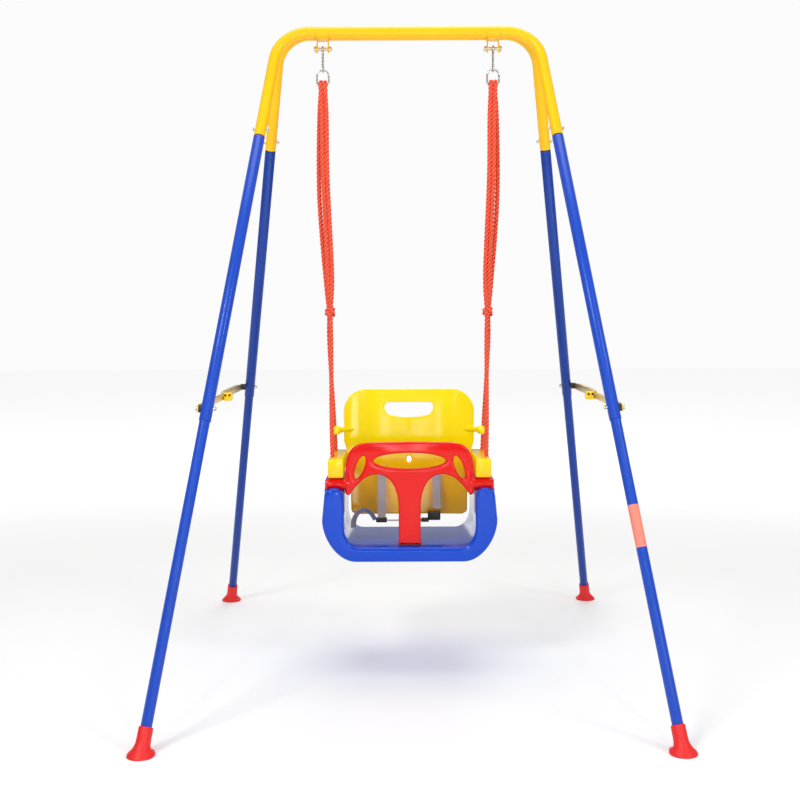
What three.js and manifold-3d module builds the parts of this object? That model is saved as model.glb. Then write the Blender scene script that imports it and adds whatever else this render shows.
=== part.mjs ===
// Folding A-frame swing with a toddler bucket seat. Millimetres, +Z up, +X to the user's right, +Y backwards.
import * as THREE from "three";
import { mergeVertices } from "three/addons/utils/BufferGeometryUtils.js";
import Module from "manifold-3d";

const wasm = await Module();
wasm.setup();

// ---- driving dimensions ----
const gap = 0.3; // running gap between touching pieces
const tube = { outer: 12.5, wall: 1.2, sides: 12 };
const lowerTubeRadius = 11;
const frame = {
  barHeight: 1470,
  barOffset: 13.75, // each top bar's distance from the middle plane
  tilt: THREE.MathUtils.degToRad(22), // each side frame leans out by this
  cornerHalfWidth: 294, // where the bar's and leg's axes would meet
  footHalfWidth: 512,
  bendRadius: 80,
};
frame.legReach = frame.barHeight / Math.cos(frame.tilt);
frame.lean = (frame.footHalfWidth - frame.cornerHalfWidth) / frame.legReach;
// stations down a side frame, measured from the bar
const station = { upperTop: 269, pivot: 900, lowerTop: 866, upperEnd: 927 };
const bolt = { radius: 3, hole: 3.3, head: 5.5, headLength: 4 };
const foot = { soleRadius: 27, sleeveRadius: 14.2, height: 52, floorThickness: 9 };
const link = { thickness: 3, halfHeight: 8, standOff: 4.6, flange: 8 };
const hook = { x: 196, z: 1435, boltRadius: 4, earThickness: 2.5, earGap: 23 };
const wire = 2; // radius of the carabiner's and ring's wire
const rope = { radius: 5, sides: 8 };
const seat = { halfWidth: 199, front: -130, rear: 140, under: 266, pan: 300, wallInner: 149.5, skin: 4 };
const guard = { y: -100, axisZ: 442, barrel: 13, depth: 22, reach: 192 };
const arm = { inner: 150, outer: 186, front: -114, rear: 94, low: 456.5, high: 499 };
const ropeHole = { x: 177.5, frontY: -62, rearY: 75, radius: 6 };
const strapWidth = 20;

// ---- colours ----
const paint = (color, roughness = 0.35, metalness = 0) =>
  new THREE.MeshStandardMaterial({ color, roughness, metalness });
const yellow = () => paint(0xfad000, 0.25);
const brightBlue = () => paint(0x1450d8, 0.25);
const red = () => paint(0xe81414, 0.25);
const zinc = () => paint(0xd8b45a, 0.35, 1);
const chrome = () => paint(0xc8c8c8, 0.2, 1);
const black = () => paint(0x101010, 0.5);
const orangeRope = () => paint(0xff5030, 0.7);
const webbing = () => paint(0xa8a4a4, 0.85);

// ---- solids ----
function toSolid(geometry) {
  const bare = geometry.index ? geometry.toNonIndexed() : geometry.clone();
  bare.deleteAttribute("normal");
  bare.deleteAttribute("uv");
  const merged = mergeVertices(bare, 1e-4);
  return new wasm.Manifold(
    new wasm.Mesh({
      numProp: 3,
      vertProperties: merged.attributes.position.array,
      triVerts: new Uint32Array(merged.index.array),
    }),
  );
}

function toGeometry(solid) {
  const mesh = solid.getMesh();
  const geometry = new THREE.BufferGeometry();
  geometry.setAttribute("position", new THREE.BufferAttribute(new Float32Array(mesh.vertProperties), 3));
  geometry.setIndex(new THREE.BufferAttribute(new Uint32Array(mesh.triVerts), 1));
  geometry.computeVertexNormals();
  return geometry;
}

const join = (...parts) => toGeometry(parts.map(toSolid).reduce((a, b) => a.add(b)));
const cut = (body, ...tools) => toGeometry(tools.map(toSolid).reduce((a, b) => a.subtract(b), toSolid(body)));
const largerOf = (a, b) => (b.volume() > a.volume() ? b : a);
const largestBody = (solid) => solid.decompose().reduce(largerOf);
const filled = (body) => toGeometry(largestBody(toSolid(body)));
const meet = (a, b) => toGeometry(toSolid(a).intersect(toSolid(b)));

function box(x0, x1, y0, y1, z0, z1) {
  const shape = new THREE.BoxGeometry(x1 - x0, y1 - y0, z1 - z0);
  return shape.translate((x0 + x1) / 2, (y0 + y1) / 2, (z0 + z1) / 2);
}

// A cylinder along X from x0 to x1.
function rodX(radius, x0, x1, y, z, sides = 12) {
  const length = Math.abs(x1 - x0);
  const rod = new THREE.CylinderGeometry(radius, radius, length, sides).rotateZ(Math.PI / 2);
  return rod.translate((x0 + x1) / 2, y, z);
}

function rodZ(radius, x, y, z0, z1, sides = 12) {
  const rod = new THREE.CylinderGeometry(radius, radius, z1 - z0, sides).rotateX(Math.PI / 2);
  return rod.translate(x, y, (z0 + z1) / 2);
}

// A shape drawn in X and Z, extruded along Y from y0 to y1 with rounded edges.
function slab(shape, y0, y1, edge = 0, edgeSteps = 2, curveSegments = 8) {
  const geometry = new THREE.ExtrudeGeometry(shape, {
    depth: y1 - y0 - 2 * edge,
    bevelEnabled: edge > 0,
    bevelThickness: edge,
    bevelSize: edge,
    bevelOffset: -edge,
    bevelSegments: edgeSteps,
    curveSegments,
  });
  return geometry.rotateX(Math.PI / 2).translate(0, y1 - edge, 0);
}

// A shape drawn in Y and Z, extruded along X and centred on x.
function plateX(shape, x, thickness, curveSegments = 6) {
  const geometry = new THREE.ExtrudeGeometry(shape, { depth: thickness, bevelEnabled: false, curveSegments });
  const toYZ = new THREE.Matrix4().makeBasis(
    new THREE.Vector3(0, 1, 0),
    new THREE.Vector3(0, 0, 1),
    new THREE.Vector3(1, 0, 0),
  );
  return geometry.applyMatrix4(toYZ).translate(x - thickness / 2, 0, 0);
}

function ringShape(outer, inner) {
  const shape = new THREE.Shape().absarc(0, 0, outer, 0, 2 * Math.PI, false);
  if (inner) shape.holes.push(new THREE.Path().absarc(0, 0, inner, 0, 2 * Math.PI, true));
  return shape;
}

// A path that is only sampled at its own points, so a straight stretch costs one step.
class Route extends THREE.Curve {
  constructor(points) {
    super();
    this.points = points;
    this.steps = points.length - 1;
  }
  getPointAt(t, target = new THREE.Vector3()) {
    return target.copy(this.points[Math.round(t * this.steps)]);
  }
  getTangentAt(t, target = new THREE.Vector3()) {
    const i = Math.round(t * this.steps);
    const before = this.points[Math.max(i - 1, 0)];
    const here = this.points[i];
    const after = this.points[Math.min(i + 1, this.steps)];
    const arriving = here.clone().sub(before).normalize();
    const leaving = after.clone().sub(here).normalize();
    return target.copy(arriving).add(leaving).normalize();
  }
}

function sweep(points, section, sides) {
  const route = new Route(points);
  return new THREE.ExtrudeGeometry(section, {
    extrudePath: route,
    steps: route.steps,
    curveSegments: sides / 2, // a full circle takes two per segment
    bevelEnabled: false,
  });
}

function arcPoints(centre, radius, from, to, steps, place) {
  const points = [];
  for (let i = 0; i <= steps; i += 1) {
    const angle = from + ((to - from) * i) / steps;
    points.push(place(centre[0] + radius * Math.cos(angle), centre[1] + radius * Math.sin(angle)));
  }
  return points;
}

function mesh(name, geometry, material) {
  const made = new THREE.Mesh(geometry, material);
  made.name = name;
  return made;
}

const sideName = (side) => (side < 0 ? "left" : "right");
const sides = [-1, 1];

// ---- side frames: drawn upright in their own plane with the bar's axis at the origin ----
const legX = (down) => frame.cornerHalfWidth + frame.lean * down;

function topTubeRoute() {
  const legAngle = Math.atan(frame.lean);
  const turn = Math.PI / 2 - legAngle;
  const tangent = frame.bendRadius * Math.tan(turn / 2);
  const centre = [frame.cornerHalfWidth - tangent, -frame.bendRadius];
  const place = (x, z) => new THREE.Vector3(x, 0, z);
  const half = arcPoints(centre, frame.bendRadius, Math.PI / 2, legAngle, 6, place);
  half.push(new THREE.Vector3(legX(station.upperTop), 0, -station.upperTop));
  const mirrored = half.map((p) => new THREE.Vector3(-p.x, 0, p.z)).reverse();
  return [...mirrored, ...half];
}

function jointBoltHoles() {
  return sides.map((side) => {
    const x = side * legX(station.upperTop - 20);
    return rodX(bolt.hole, x - 25, x + 25, 0, -(station.upperTop - 20), 8);
  });
}

// A lathe about the leg's axis, from a profile of [radius, distance down the leg], placed from a station.
function alongLeg(side, down, profile, lathed = tube.sides) {
  const closed = [...profile, profile[0]].map(([radius, along]) => new THREE.Vector2(radius, -along));
  const geometry = new THREE.LatheGeometry(closed, lathed).rotateX(Math.PI / 2);
  geometry.rotateY(-side * Math.atan(frame.lean));
  return geometry.translate(side * legX(down), 0, -down);
}

function tubeProfile(outer, inner, length) {
  return [
    [inner, 0],
    [inner, length],
    [outer, length],
    [outer, 0],
  ];
}

const legLength = (from, to) => (to - from) * Math.hypot(1, frame.lean);

function upperLeg(side) {
  const bore = tube.outer - tube.wall;
  const neck = 38;
  const length = neck + legLength(station.upperTop + gap, station.upperEnd);
  const top = station.upperTop + gap - neck / Math.hypot(1, frame.lean);
  const body = alongLeg(side, top, [
    [lowerTubeRadius - tube.wall, 0],
    [lowerTubeRadius - tube.wall, neck],
    [bore, neck + 2],
    [bore, length],
    [tube.outer, length],
    [tube.outer, neck],
    [lowerTubeRadius, neck],
    [lowerTubeRadius, 0],
  ]);
  const pivotX = side * legX(station.pivot);
  const pivotHole = rodX(bolt.hole, pivotX - 20, pivotX + 20, 0, -station.pivot, 8);
  return cut(body, pivotHole, ...jointBoltHoles());
}

function lowerLeg(side) {
  const end = frame.legReach - foot.floorThickness - 3;
  const profile = tubeProfile(lowerTubeRadius, lowerTubeRadius - tube.wall, legLength(station.lowerTop, end));
  const body = alongLeg(side, station.lowerTop, profile);
  const pivotX = side * legX(station.pivot);
  return cut(body, rodX(bolt.hole, pivotX - 20, pivotX + 20, 0, -station.pivot, 8));
}

// The rubber foot stands level, so it is drawn in the world and turned into the tilted frame.
function rubberFoot(side, front) {
  const solePoint = new THREE.Vector3(side * legX(frame.legReach), 0, -frame.legReach);
  const cup = new THREE.LatheGeometry(
    [
      [0, 0],
      [foot.soleRadius, 0],
      [foot.soleRadius, 4],
      [foot.soleRadius - 4, 8],
      [foot.sleeveRadius + 3, 14],
      [foot.sleeveRadius, 24],
      [0, 24],
    ].map(([r, z]) => new THREE.Vector2(r, z)),
    20,
  );
  cup.rotateX(Math.PI / 2).rotateX(-front * frame.tilt).translate(solePoint.x, solePoint.y, solePoint.z);
  const sleeveTop = frame.legReach - foot.height;
  const sleeve = alongLeg(side, sleeveTop, [
    [0, 0],
    [0, foot.height - foot.floorThickness],
    [foot.sleeveRadius, foot.height - foot.floorThickness],
    [foot.sleeveRadius, 0],
  ]);
  const bore = alongLeg(side, sleeveTop - 5, [
    [0, 0],
    [0, foot.height - foot.floorThickness + 4],
    [lowerTubeRadius + gap, foot.height - foot.floorThickness + 4],
    [lowerTubeRadius + gap, 0],
  ]);
  return cut(join(cup, sleeve), bore);
}

// A hex-headed bolt along X: head at the outer end, nut at the inner end.
function boltAlongX(side, inner, outer, y, z) {
  const shankEnd = outer + bolt.headLength / 2;
  const shank = rodX(bolt.radius, side * (inner - bolt.headLength), side * shankEnd, y, z, 10);
  const head = rodX(bolt.head, side * outer, side * (outer + bolt.headLength), y, z, 6);
  const nut = rodX(bolt.head, side * inner, side * (inner - bolt.headLength), y, z, 6);
  return join(shank, head, nut);
}

// The spacer fills the room between the leg and its brace link.
const pivotX = legX(station.pivot);
const legSkinX = pivotX + tube.outer * Math.hypot(1, frame.lean);
const linkFaceX = {
  front: legSkinX + link.standOff,
  rear: legSkinX + link.standOff + link.thickness + 0.4,
};

function spacer(side, faceX) {
  const disc = rodX(8, side * (pivotX + 8), side * (faceX - gap), 0, -station.pivot, 14);
  const clearance = alongLeg(side, station.pivot - 30, [
    [0, 0],
    [0, 60],
    [tube.outer + gap, 60],
    [tube.outer + gap, 0],
  ]);
  return cut(disc, clearance, rodX(bolt.hole, side * pivotX, side * (faceX + 5), 0, -station.pivot, 10));
}

function sideFrame(front) {
  const label = front < 0 ? "front" : "rear";
  const group = new THREE.Group();
  group.position.set(0, front * frame.barOffset, frame.barHeight);
  group.rotation.x = front * frame.tilt;
  const topTube = sweep(topTubeRoute(), ringShape(tube.outer, tube.outer - tube.wall), tube.sides);
  group.add(mesh(`${label}_top_tube`, cut(topTube, ...jointBoltHoles()), yellow()));
  for (const side of sides) {
    const name = `${label}_${sideName(side)}`;
    const jointX = legX(station.upperTop - 20);
    const jointZ = -(station.upperTop - 20);
    const faceX = front < 0 ? linkFaceX.front : linkFaceX.rear;
    const pivotInner = pivotX - tube.outer * Math.hypot(1, frame.lean) - 1.4;
    const jointBolt = boltAlongX(side, jointX - 14.2, jointX + 14.2, 0, jointZ);
    const pivotOuter = faceX + link.thickness + gap;
    group.add(
      mesh(`${name}_upper_leg`, upperLeg(side), brightBlue()),
      mesh(`${name}_lower_leg`, lowerLeg(side), brightBlue()),
      mesh(`${name}_foot`, rubberFoot(side, front), red()),
      mesh(`${name}_joint_bolt`, jointBolt, zinc()),
      mesh(`${name}_pivot_bolt`, boltAlongX(side, pivotInner, pivotOuter, 0, -station.pivot), zinc()),
      mesh(`${name}_spacer`, spacer(side, faceX), black()),
    );
  }
  return group;
}

// ---- folding braces: two links a side, meeting under a lock half way ----
const pivotY = frame.barOffset + station.pivot * Math.sin(frame.tilt);
const pivotZ = frame.barHeight - station.pivot * Math.cos(frame.tilt);

function linkShape(length) {
  const h = link.halfHeight;
  const shape = new THREE.Shape();
  shape.absarc(0, 0, h, Math.PI / 2, (3 * Math.PI) / 2, false);
  shape.absarc(length, 0, h, -Math.PI / 2, Math.PI / 2, false);
  shape.holes.push(new THREE.Path().absarc(0, 0, bolt.hole, 0, 2 * Math.PI, true));
  return shape;
}

// front is -1 for the link on the front leg and 1 for the one on the rear leg.
function braceLink(side, front) {
  const inner = front < 0 ? linkFaceX.front : linkFaceX.rear;
  const plate = plateX(linkShape(pivotY), side * (inner + link.thickness / 2), link.thickness);
  const outer = inner + link.thickness;
  const flangeX = front < 0 ? [inner - link.flange, inner + 1] : [outer - 1, outer + link.flange];
  const [x0, x1] = flangeX.map((x) => side * x).sort((a, b) => a - b);
  const flange = box(x0, x1, 42, pivotY - 46, link.halfHeight - 2.5, link.halfHeight);
  const body = front < 0 ? join(plate, flange) : join(plate, flange, rivet(side, outer - 1));
  if (front > 0) body.rotateZ(Math.PI).scale(-1, 1, 1);
  return front < 0 ? body : turned(body);
}

function rivet(side, x) {
  return rodX(5, side * x, side * (x + 4), pivotY, 0, 10);
}

// Mirroring turns the faces round, so the corners of each triangle are put back in order.
function turned(geometry) {
  const index = geometry.index.array;
  for (let i = 0; i < index.length; i += 3) {
    [index[i + 1], index[i + 2]] = [index[i + 2], index[i + 1]];
  }
  geometry.computeVertexNormals();
  return geometry;
}

function braceLock(side) {
  const outer = linkFaceX.front - gap;
  const [x0, x1] = [side * (outer - 20), side * outer].sort((a, b) => a - b);
  const shape = new THREE.Shape();
  const [w, h, r] = [14, 10, 4];
  shape.moveTo(-w + r, -h);
  shape.lineTo(w - r, -h);
  shape.absarc(w - r, -h + r, r, -Math.PI / 2, 0, false);
  shape.absarc(w - r, h - r, r, 0, Math.PI / 2, false);
  shape.absarc(-w + r, h - r, r, Math.PI / 2, Math.PI, false);
  shape.absarc(-w + r, -h + r, r, Math.PI, (3 * Math.PI) / 2, false);
  const block = plateX(shape, (x0 + x1) / 2, x1 - x0, 3).translate(0, pivotY, 0);
  const dimples = [5, 15].map((inset) => {
    const hole = new THREE.CylinderGeometry(2.4, 2.4, 6, 8);
    return hole.translate(side * (outer - inset), pivotY - w + 2, 4);
  });
  return cut(block, ...dimples);
}

function brace(side) {
  const group = new THREE.Group();
  const frontHalf = new THREE.Group();
  frontHalf.position.set(0, -pivotY, pivotZ);
  frontHalf.add(
    mesh(`front_${sideName(side)}_link`, braceLink(side, -1), zinc()),
    mesh(`${sideName(side)}_brace_lock`, braceLock(side), yellow()),
  );
  const rearHalf = new THREE.Group();
  rearHalf.position.set(0, pivotY, pivotZ);
  rearHalf.add(mesh(`rear_${sideName(side)}_link`, braceLink(side, 1), zinc()));
  group.add(frontHalf, rearHalf);
  return group;
}

// ---- hangers under the top bars; the rear bar turns inside the bracket's collar ----
function hangerBracket() {
  const collar = { inner: tube.outer + gap, outer: tube.outer + 2.8 };
  const width = hook.earGap + 2 * hook.earThickness;
  const drop = hook.z - frame.barHeight;
  const ringAt = (y) => rodX(collar.outer, -width / 2, width / 2, y, 0, 24);
  const boreAt = (y) => rodX(collar.inner, -width, width, y, 0, 24);
  const frontHalf = cut(ringAt(-frame.barOffset), box(-width, width, -40, 0, 0, 30));
  const web = box(-width / 2, width / 2, -frame.barOffset, frame.barOffset, -collar.outer, -collar.outer + 3);
  const ears = sides.map((side) => {
    const shape = new THREE.Shape();
    shape.moveTo(-11, -11);
    shape.absarc(0, drop, 9, Math.PI, 2 * Math.PI, false);
    shape.lineTo(11, -11);
    shape.closePath();
    return plateX(shape, (side * (hook.earGap + hook.earThickness)) / 2, hook.earThickness);
  });
  const body = join(ringAt(frame.barOffset), frontHalf, web, ...ears);
  return cut(
    body,
    boreAt(-frame.barOffset),
    boreAt(frame.barOffset),
    box(-hook.earGap / 2, hook.earGap / 2, -12, 12, -60, -collar.outer),
    rodX(hook.boltRadius + gap, -width, width, 0, drop, 12),
  );
}

function hangerBolt(side) {
  const ear = hook.earGap / 2 + hook.earThickness;
  const shank = rodX(hook.boltRadius, -side * (ear + 8), side * (ear + 3), 0, 0, 12);
  const washer = rodX(8, side * (ear + gap), side * (ear + 2), 0, 0, 14);
  const head = rodX(6.5, side * (ear + 1.5), side * (ear + 6.5), 0, 0, 6);
  const backWasher = rodX(7, -side * (ear + gap), -side * (ear + 2), 0, 0, 14);
  const nut = rodX(6, -side * (ear + 1.5), -side * (ear + 7), 0, 0, 6);
  return join(shank, washer, head, backWasher, nut);
}

// ---- carabiner in the Y-Z plane, hanging from the bolt; its gate is the missing stretch of one side ----
const carabiner = { halfWidth: 9, length: 58, gateLow: 16, gateHigh: 44 };
carabiner.top = hook.boltRadius + gap + wire; // its top wire's centre above the bolt's axis
carabiner.bottom = carabiner.top - carabiner.length;

function carabinerBody() {
  const r = carabiner.halfWidth;
  const place = (y, z) => new THREE.Vector3(0, y, z);
  const low = carabiner.bottom + r;
  const high = carabiner.top - r;
  const points = [
    place(-r, carabiner.bottom + carabiner.gateLow),
    ...arcPoints([0, low], r, Math.PI, 2 * Math.PI, 8, place),
    ...arcPoints([0, high], r, 0, Math.PI, 8, place),
    place(-r, carabiner.bottom + carabiner.gateHigh),
  ];
  return sweep(points, ringShape(wire), 8);
}

function carabinerGate() {
  const low = carabiner.bottom + carabiner.gateLow + 1;
  const high = carabiner.bottom + carabiner.gateHigh - 0.6;
  return rodZ(wire - 0.2, 0, -carabiner.halfWidth, low, high, 8);
}

// ---- ring in the X-Z plane, hanging in the carabiner ----
const ring = { radius: 13.6, straight: 12 };
ring.top = carabiner.bottom + 2 * wire + gap;
ring.bottom = ring.top - ring.straight - 2 * ring.radius;

function ringBody() {
  const place = (x, z) => new THREE.Vector3(x, 0, z);
  const high = ring.top - ring.radius;
  const low = ring.bottom + ring.radius;
  const points = [
    ...arcPoints([0, high], ring.radius, 0, Math.PI, 10, place),
    ...arcPoints([0, low], ring.radius, Math.PI, 2 * Math.PI, 10, place),
  ];
  // two sweeps that overlap at both ends make the closed ring
  const weld = points[points.length - 1].clone().lerp(points[0], 0.5);
  const loop = sweep([...points.slice(10), weld], ringShape(wire), 6);
  const rest = sweep([weld.clone().setZ(weld.z - 1), ...points.slice(0, 12)], ringShape(wire), 6);
  return join(loop, rest);
}

// ---- rope: doubled twice between ring and knot, then one leg to each hole of the seat's side ----
const knotZ = 832;
const overRing = { radius: 9, lift: 3 }; // the rope's bend about the ring's wire

function ropeStrand(points) {
  const placed = points.map(([x, y, z]) => new THREE.Vector3(-x, y, z));
  return sweep(placed, ringShape(rope.radius), rope.sides);
}

function overTheRing(x) {
  const z = hook.z + ring.bottom + overRing.lift;
  return arcPoints([0, z], overRing.radius, Math.PI, 0, 4, (y, up) => [x, y, up]);
}

// The left rope; the right one is its mirror image.
function ropeBody(side) {
  const hang = hook.x;
  const low = ropeHole.x;
  const knotX = low + (hang - low) * 0.36;
  const frontLeg = [
    [low, ropeHole.frontY, 436],
    [low, ropeHole.frontY, 503],
    [low + 2, -48, 570],
    [knotX - 3, -11, 770],
    [knotX - 2, -5, knotZ],
    [knotX - 6, -6, 900],
    [hang - 9, -8, 1150],
    [hang - 8, -9, 1290],
    ...overTheRing(hang - 4.85),
    [hang - 4, 9, 1290],
    [hang - 2, 6, 1100],
    [knotX - 1, 5, 880],
    [knotX, 4, knotZ],
  ];
  const rearLeg = [
    [low, ropeHole.rearY, 436],
    [low, ropeHole.rearY, 503],
    [low + 2, 58, 570],
    [knotX + 3, 13, 770],
    [knotX + 2, 5, knotZ],
    [knotX + 3, -5, 900],
    [hang + 1, -8, 1150],
    [hang + 2, -9, 1290],
    ...overTheRing(hang + 4.85),
    [hang + 9, 9, 1290],
    [hang + 11, 5, 1100],
    [knotX + 7, 4, 880],
    [knotX + 2, 4, knotZ],
  ];
  const knot = new THREE.SphereGeometry(1, 12, 8).scale(12, 12, 13);
  knot.translate(-knotX, 0, knotZ);
  const ends = [ropeHole.frontY, ropeHole.rearY].map((y) =>
    new THREE.SphereGeometry(9, 10, 7).translate(-low, y, 432),
  );
  const left = filled(join(ropeStrand(frontLeg), ropeStrand(rearLeg), knot, ...ends));
  return side < 0 ? left : turned(left.scale(-1, 1, 1));
}

// ---- seat shell: one U-shaped hollow moulding ----
function shellShape(inset, armTop, topRadius) {
  const outer = seat.halfWidth - inset;
  const topOuter = seat.halfWidth - 5 - inset;
  const inner = seat.wallInner + inset;
  const under = seat.under + inset;
  const pan = seat.pan - inset;
  const top = armTop - inset;
  const r = Math.min(topRadius, (topOuter - inner) / 2);
  const shape = new THREE.Shape();
  shape.moveTo(-122, under);
  shape.lineTo(122, under);
  shape.bezierCurveTo(165, under, outer, 320, outer, 362);
  shape.lineTo(topOuter, top - r);
  shape.absarc(topOuter - r, top - r, r, 0, Math.PI / 2, false);
  shape.absarc(inner + r, top - r, r, Math.PI / 2, Math.PI, false);
  shape.lineTo(inner, 348);
  shape.bezierCurveTo(inner, 322, 136, pan, 112, pan);
  shape.lineTo(-112, pan);
  shape.bezierCurveTo(-136, pan, -inner, 322, -inner, 348);
  shape.lineTo(-inner, top - r);
  shape.absarc(-inner - r, top - r, r, 0, Math.PI / 2, false);
  shape.absarc(-topOuter + r, top - r, r, Math.PI / 2, Math.PI, false);
  shape.lineTo(-outer, 362);
  shape.bezierCurveTo(-outer, 320, -165, under, -122, under);
  return shape;
}

function seatShell() {
  const armTop = { front: 435, back: 454 };
  const backStart = guard.y + guard.barrel + 2;
  const frontPart = slab(shellShape(0, armTop.front, 21), seat.front, backStart + 20, 6, 1, 4);
  const backPart = slab(shellShape(0, armTop.back, 6), backStart, seat.rear, 4, 1, 4);
  const skin = seat.skin;
  const frontRoom = shellShape(skin, armTop.front - 9, 6);
  const frontHollow = slab(frontRoom, seat.front + skin + 4, backStart + 22, 0, 1, 4);
  const backHollow = slab(shellShape(skin, armTop.back, 4), backStart + skin, seat.rear - skin, 0, 1, 4);
  const grooves = sides.map((side) => {
    const groove = rodX(guard.barrel + 0.6, side * 140, side * 210, guard.y, guard.axisZ, 20);
    const reach = guard.barrel + 0.6;
    const mouth = box(140, 210, guard.y - reach, guard.y + reach, guard.axisZ, 470);
    return join(groove, side < 0 ? mouth.translate(-350, 0, 0) : mouth);
  });
  const holes = sides.flatMap((side) =>
    [ropeHole.frontY, ropeHole.rearY].map((y) => rodZ(ropeHole.radius, side * ropeHole.x, y, 440, 470, 10)),
  );
  const solid = join(frontPart, backPart);
  const hollow = join(frontHollow, backHollow);
  return cut(solid, hollow, ...grooves, ...holes);
}

const pierced = (body, holes, y0, y1) => cut(body, ...holes.map((hole) => slab(hole, y0, y1, 0, 1, 5)));

// An oval hole whose long axis leans anticlockwise by lean.
function ovalHole(x, z, halfWidth, halfHeight, lean, count) {
  const points = [];
  for (let i = 0; i < count; i += 1) {
    const angle = (-2 * Math.PI * i) / count;
    const corner = new THREE.Vector2(halfWidth * Math.cos(angle), halfHeight * Math.sin(angle));
    points.push(corner.rotateAround(new THREE.Vector2(0, 0), lean).add(new THREE.Vector2(x, z)));
  }
  return new THREE.Shape(points);
}

// ---- guard: the T-shaped bar that turns in the grooves of the shell's arms ----
function guardShape() {
  const shape = new THREE.Shape();
  const half = [
    ["line", 86, 537],
    ["curve", 128, 536, 143, 522, 146, 474],
    ["line", 147.5, 440],
    ["curve", 149, 424, 144, 415, 137, 417],
    ["curve", 122, 438, 104, 464, 75, 464],
    ["curve", 44, 464, 26, 434, 25, 390],
    ["line", 25, 301.5],
  ];
  shape.moveTo(0, 538.5);
  for (const [kind, ...c] of half) {
    if (kind === "line") shape.lineTo(...c);
    else shape.bezierCurveTo(...c);
  }
  shape.lineTo(-25, 301.5);
  const mirroredStarts = [
    [25, 390],
    [75, 464],
    [137, 417],
    [147.5, 440],
    [146, 474],
    [86, 537],
    [0, 538.5],
  ];
  [...half].reverse().forEach(([kind, ...c], i) => {
    const [x, z] = mirroredStarts[i];
    if (kind === "line") shape.lineTo(-x, z);
    else shape.bezierCurveTo(-c[2], c[3], -c[0], c[1], -x, z);
  });
  return shape;
}

function guardBody() {
  const half = guard.depth / 2;
  const slots = sides.map((side) => ovalHole(side * 113, 480, 9.5, 28, side * 0.36, 12));
  const holes = [ovalHole(0, 495, 82, 18, 0, 20), ...slots];
  const solid = slab(guardShape(), guard.y - half, guard.y + half, 4, 1, 5);
  const bar = pierced(solid, holes, guard.y - 20, guard.y + 20);
  const barrel = rodX(guard.barrel, -guard.reach, -138, guard.y, guard.axisZ, 20);
  const otherBarrel = rodX(guard.barrel, 138, guard.reach, guard.y, guard.axisZ, 20);
  return join(bar, barrel, otherBarrel);
}

// ---- backrest: a dished panel with an arm on each side that the ropes run through ----
function backOutline() {
  const shape = new THREE.Shape();
  shape.moveTo(-128, 343);
  shape.lineTo(128, 343);
  shape.lineTo(140, 354);
  shape.lineTo(142, 470);
  shape.lineTo(157, 520);
  shape.lineTo(157, 592);
  shape.absarc(103, 592, 54, 0, Math.PI / 2, false);
  shape.absarc(-103, 592, 54, Math.PI / 2, Math.PI, false);
  shape.lineTo(-157, 520);
  shape.lineTo(-142, 470);
  shape.lineTo(-140, 354);
  shape.closePath();
  return shape;
}

function backHoles() {
  const handle = new THREE.Shape();
  handle.moveTo(-48, 614);
  handle.bezierCurveTo(-63, 614, -63, 590, -46, 583);
  handle.bezierCurveTo(-24, 576, 24, 576, 46, 583);
  handle.bezierCurveTo(63, 590, 63, 614, 48, 614);
  handle.closePath();
  return [handle, ovalHole(0, 476, 6, 8, 0, 12)];
}

const back = { middleY: 80, edgeY: 60, thickness: 13, recline: THREE.MathUtils.degToRad(4) };

function backPanel() {
  const plan = new THREE.Shape();
  const t = back.thickness;
  plan.moveTo(-160, back.edgeY);
  plan.bezierCurveTo(-120, back.middleY, -80, back.middleY, 0, back.middleY);
  plan.bezierCurveTo(80, back.middleY, 120, back.middleY, 160, back.edgeY);
  plan.lineTo(160, back.edgeY + t);
  plan.bezierCurveTo(120, back.middleY + t, 80, back.middleY + t, 0, back.middleY + t);
  plan.bezierCurveTo(-80, back.middleY + t, -120, back.middleY + t, -160, back.edgeY + t);
  plan.closePath();
  const column = new THREE.ExtrudeGeometry(plan, { depth: 320, bevelEnabled: false, curveSegments: 6 });
  column.translate(0, 0, 335);
  const cutter = slab(backOutline(), back.edgeY - 20, back.middleY + 40, 0, 1, 5);
  const slots = sides.map((side) => box(side * 66 - 12, side * 66 + 12, 40, 120, 447.5, 457.5));
  const panel = cut(pierced(meet(column, cutter), backHoles(), 40, 120), ...slots);
  panel.translate(0, -back.middleY, -arm.low).rotateX(-back.recline).translate(0, back.middleY, arm.low);
  return panel;
}

function backrest() {
  const pieces = [backPanel()];
  const cuts = [];
  for (const side of sides) {
    const [x0, x1] = [side * arm.inner, side * arm.outer].sort((a, b) => a - b);
    const section = new THREE.Shape();
    const r = 5;
    section.moveTo(x0 + r, arm.low);
    section.lineTo(x1 - r, arm.low);
    section.absarc(x1 - r, arm.low + r, r, -Math.PI / 2, 0, false);
    section.absarc(x1 - r, arm.high - r, r, 0, Math.PI / 2, false);
    section.absarc(x0 + r, arm.high - r, r, Math.PI / 2, Math.PI, false);
    section.absarc(x0 + r, arm.low + r, r, Math.PI, (3 * Math.PI) / 2, false);
    pieces.push(slab(section, arm.front, arm.rear, 4, 1, 3));
    const knob = new THREE.SphereGeometry(11, 12, 8).translate(side * 172, 45, 549);
    const stalk = new THREE.CylinderGeometry(5.5, 5.5, 50, 8).rotateZ(Math.PI / 2);
    stalk.rotateZ(-side * 0.62).translate(side * 156, 61, 549);
    const [b0, b1] = [side * 132, side * (arm.inner + 8)].sort((a, b) => a - b);
    pieces.push(knob, stalk, box(b0, b1, 66, 86, arm.low + 2, arm.high - 2));
    for (const y of [ropeHole.frontY, ropeHole.rearY]) {
      cuts.push(rodZ(ropeHole.radius, side * ropeHole.x, y, arm.low - 5, arm.high + 5, 10));
    }
  }
  return cut(join(...pieces), ...cuts);
}

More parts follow.
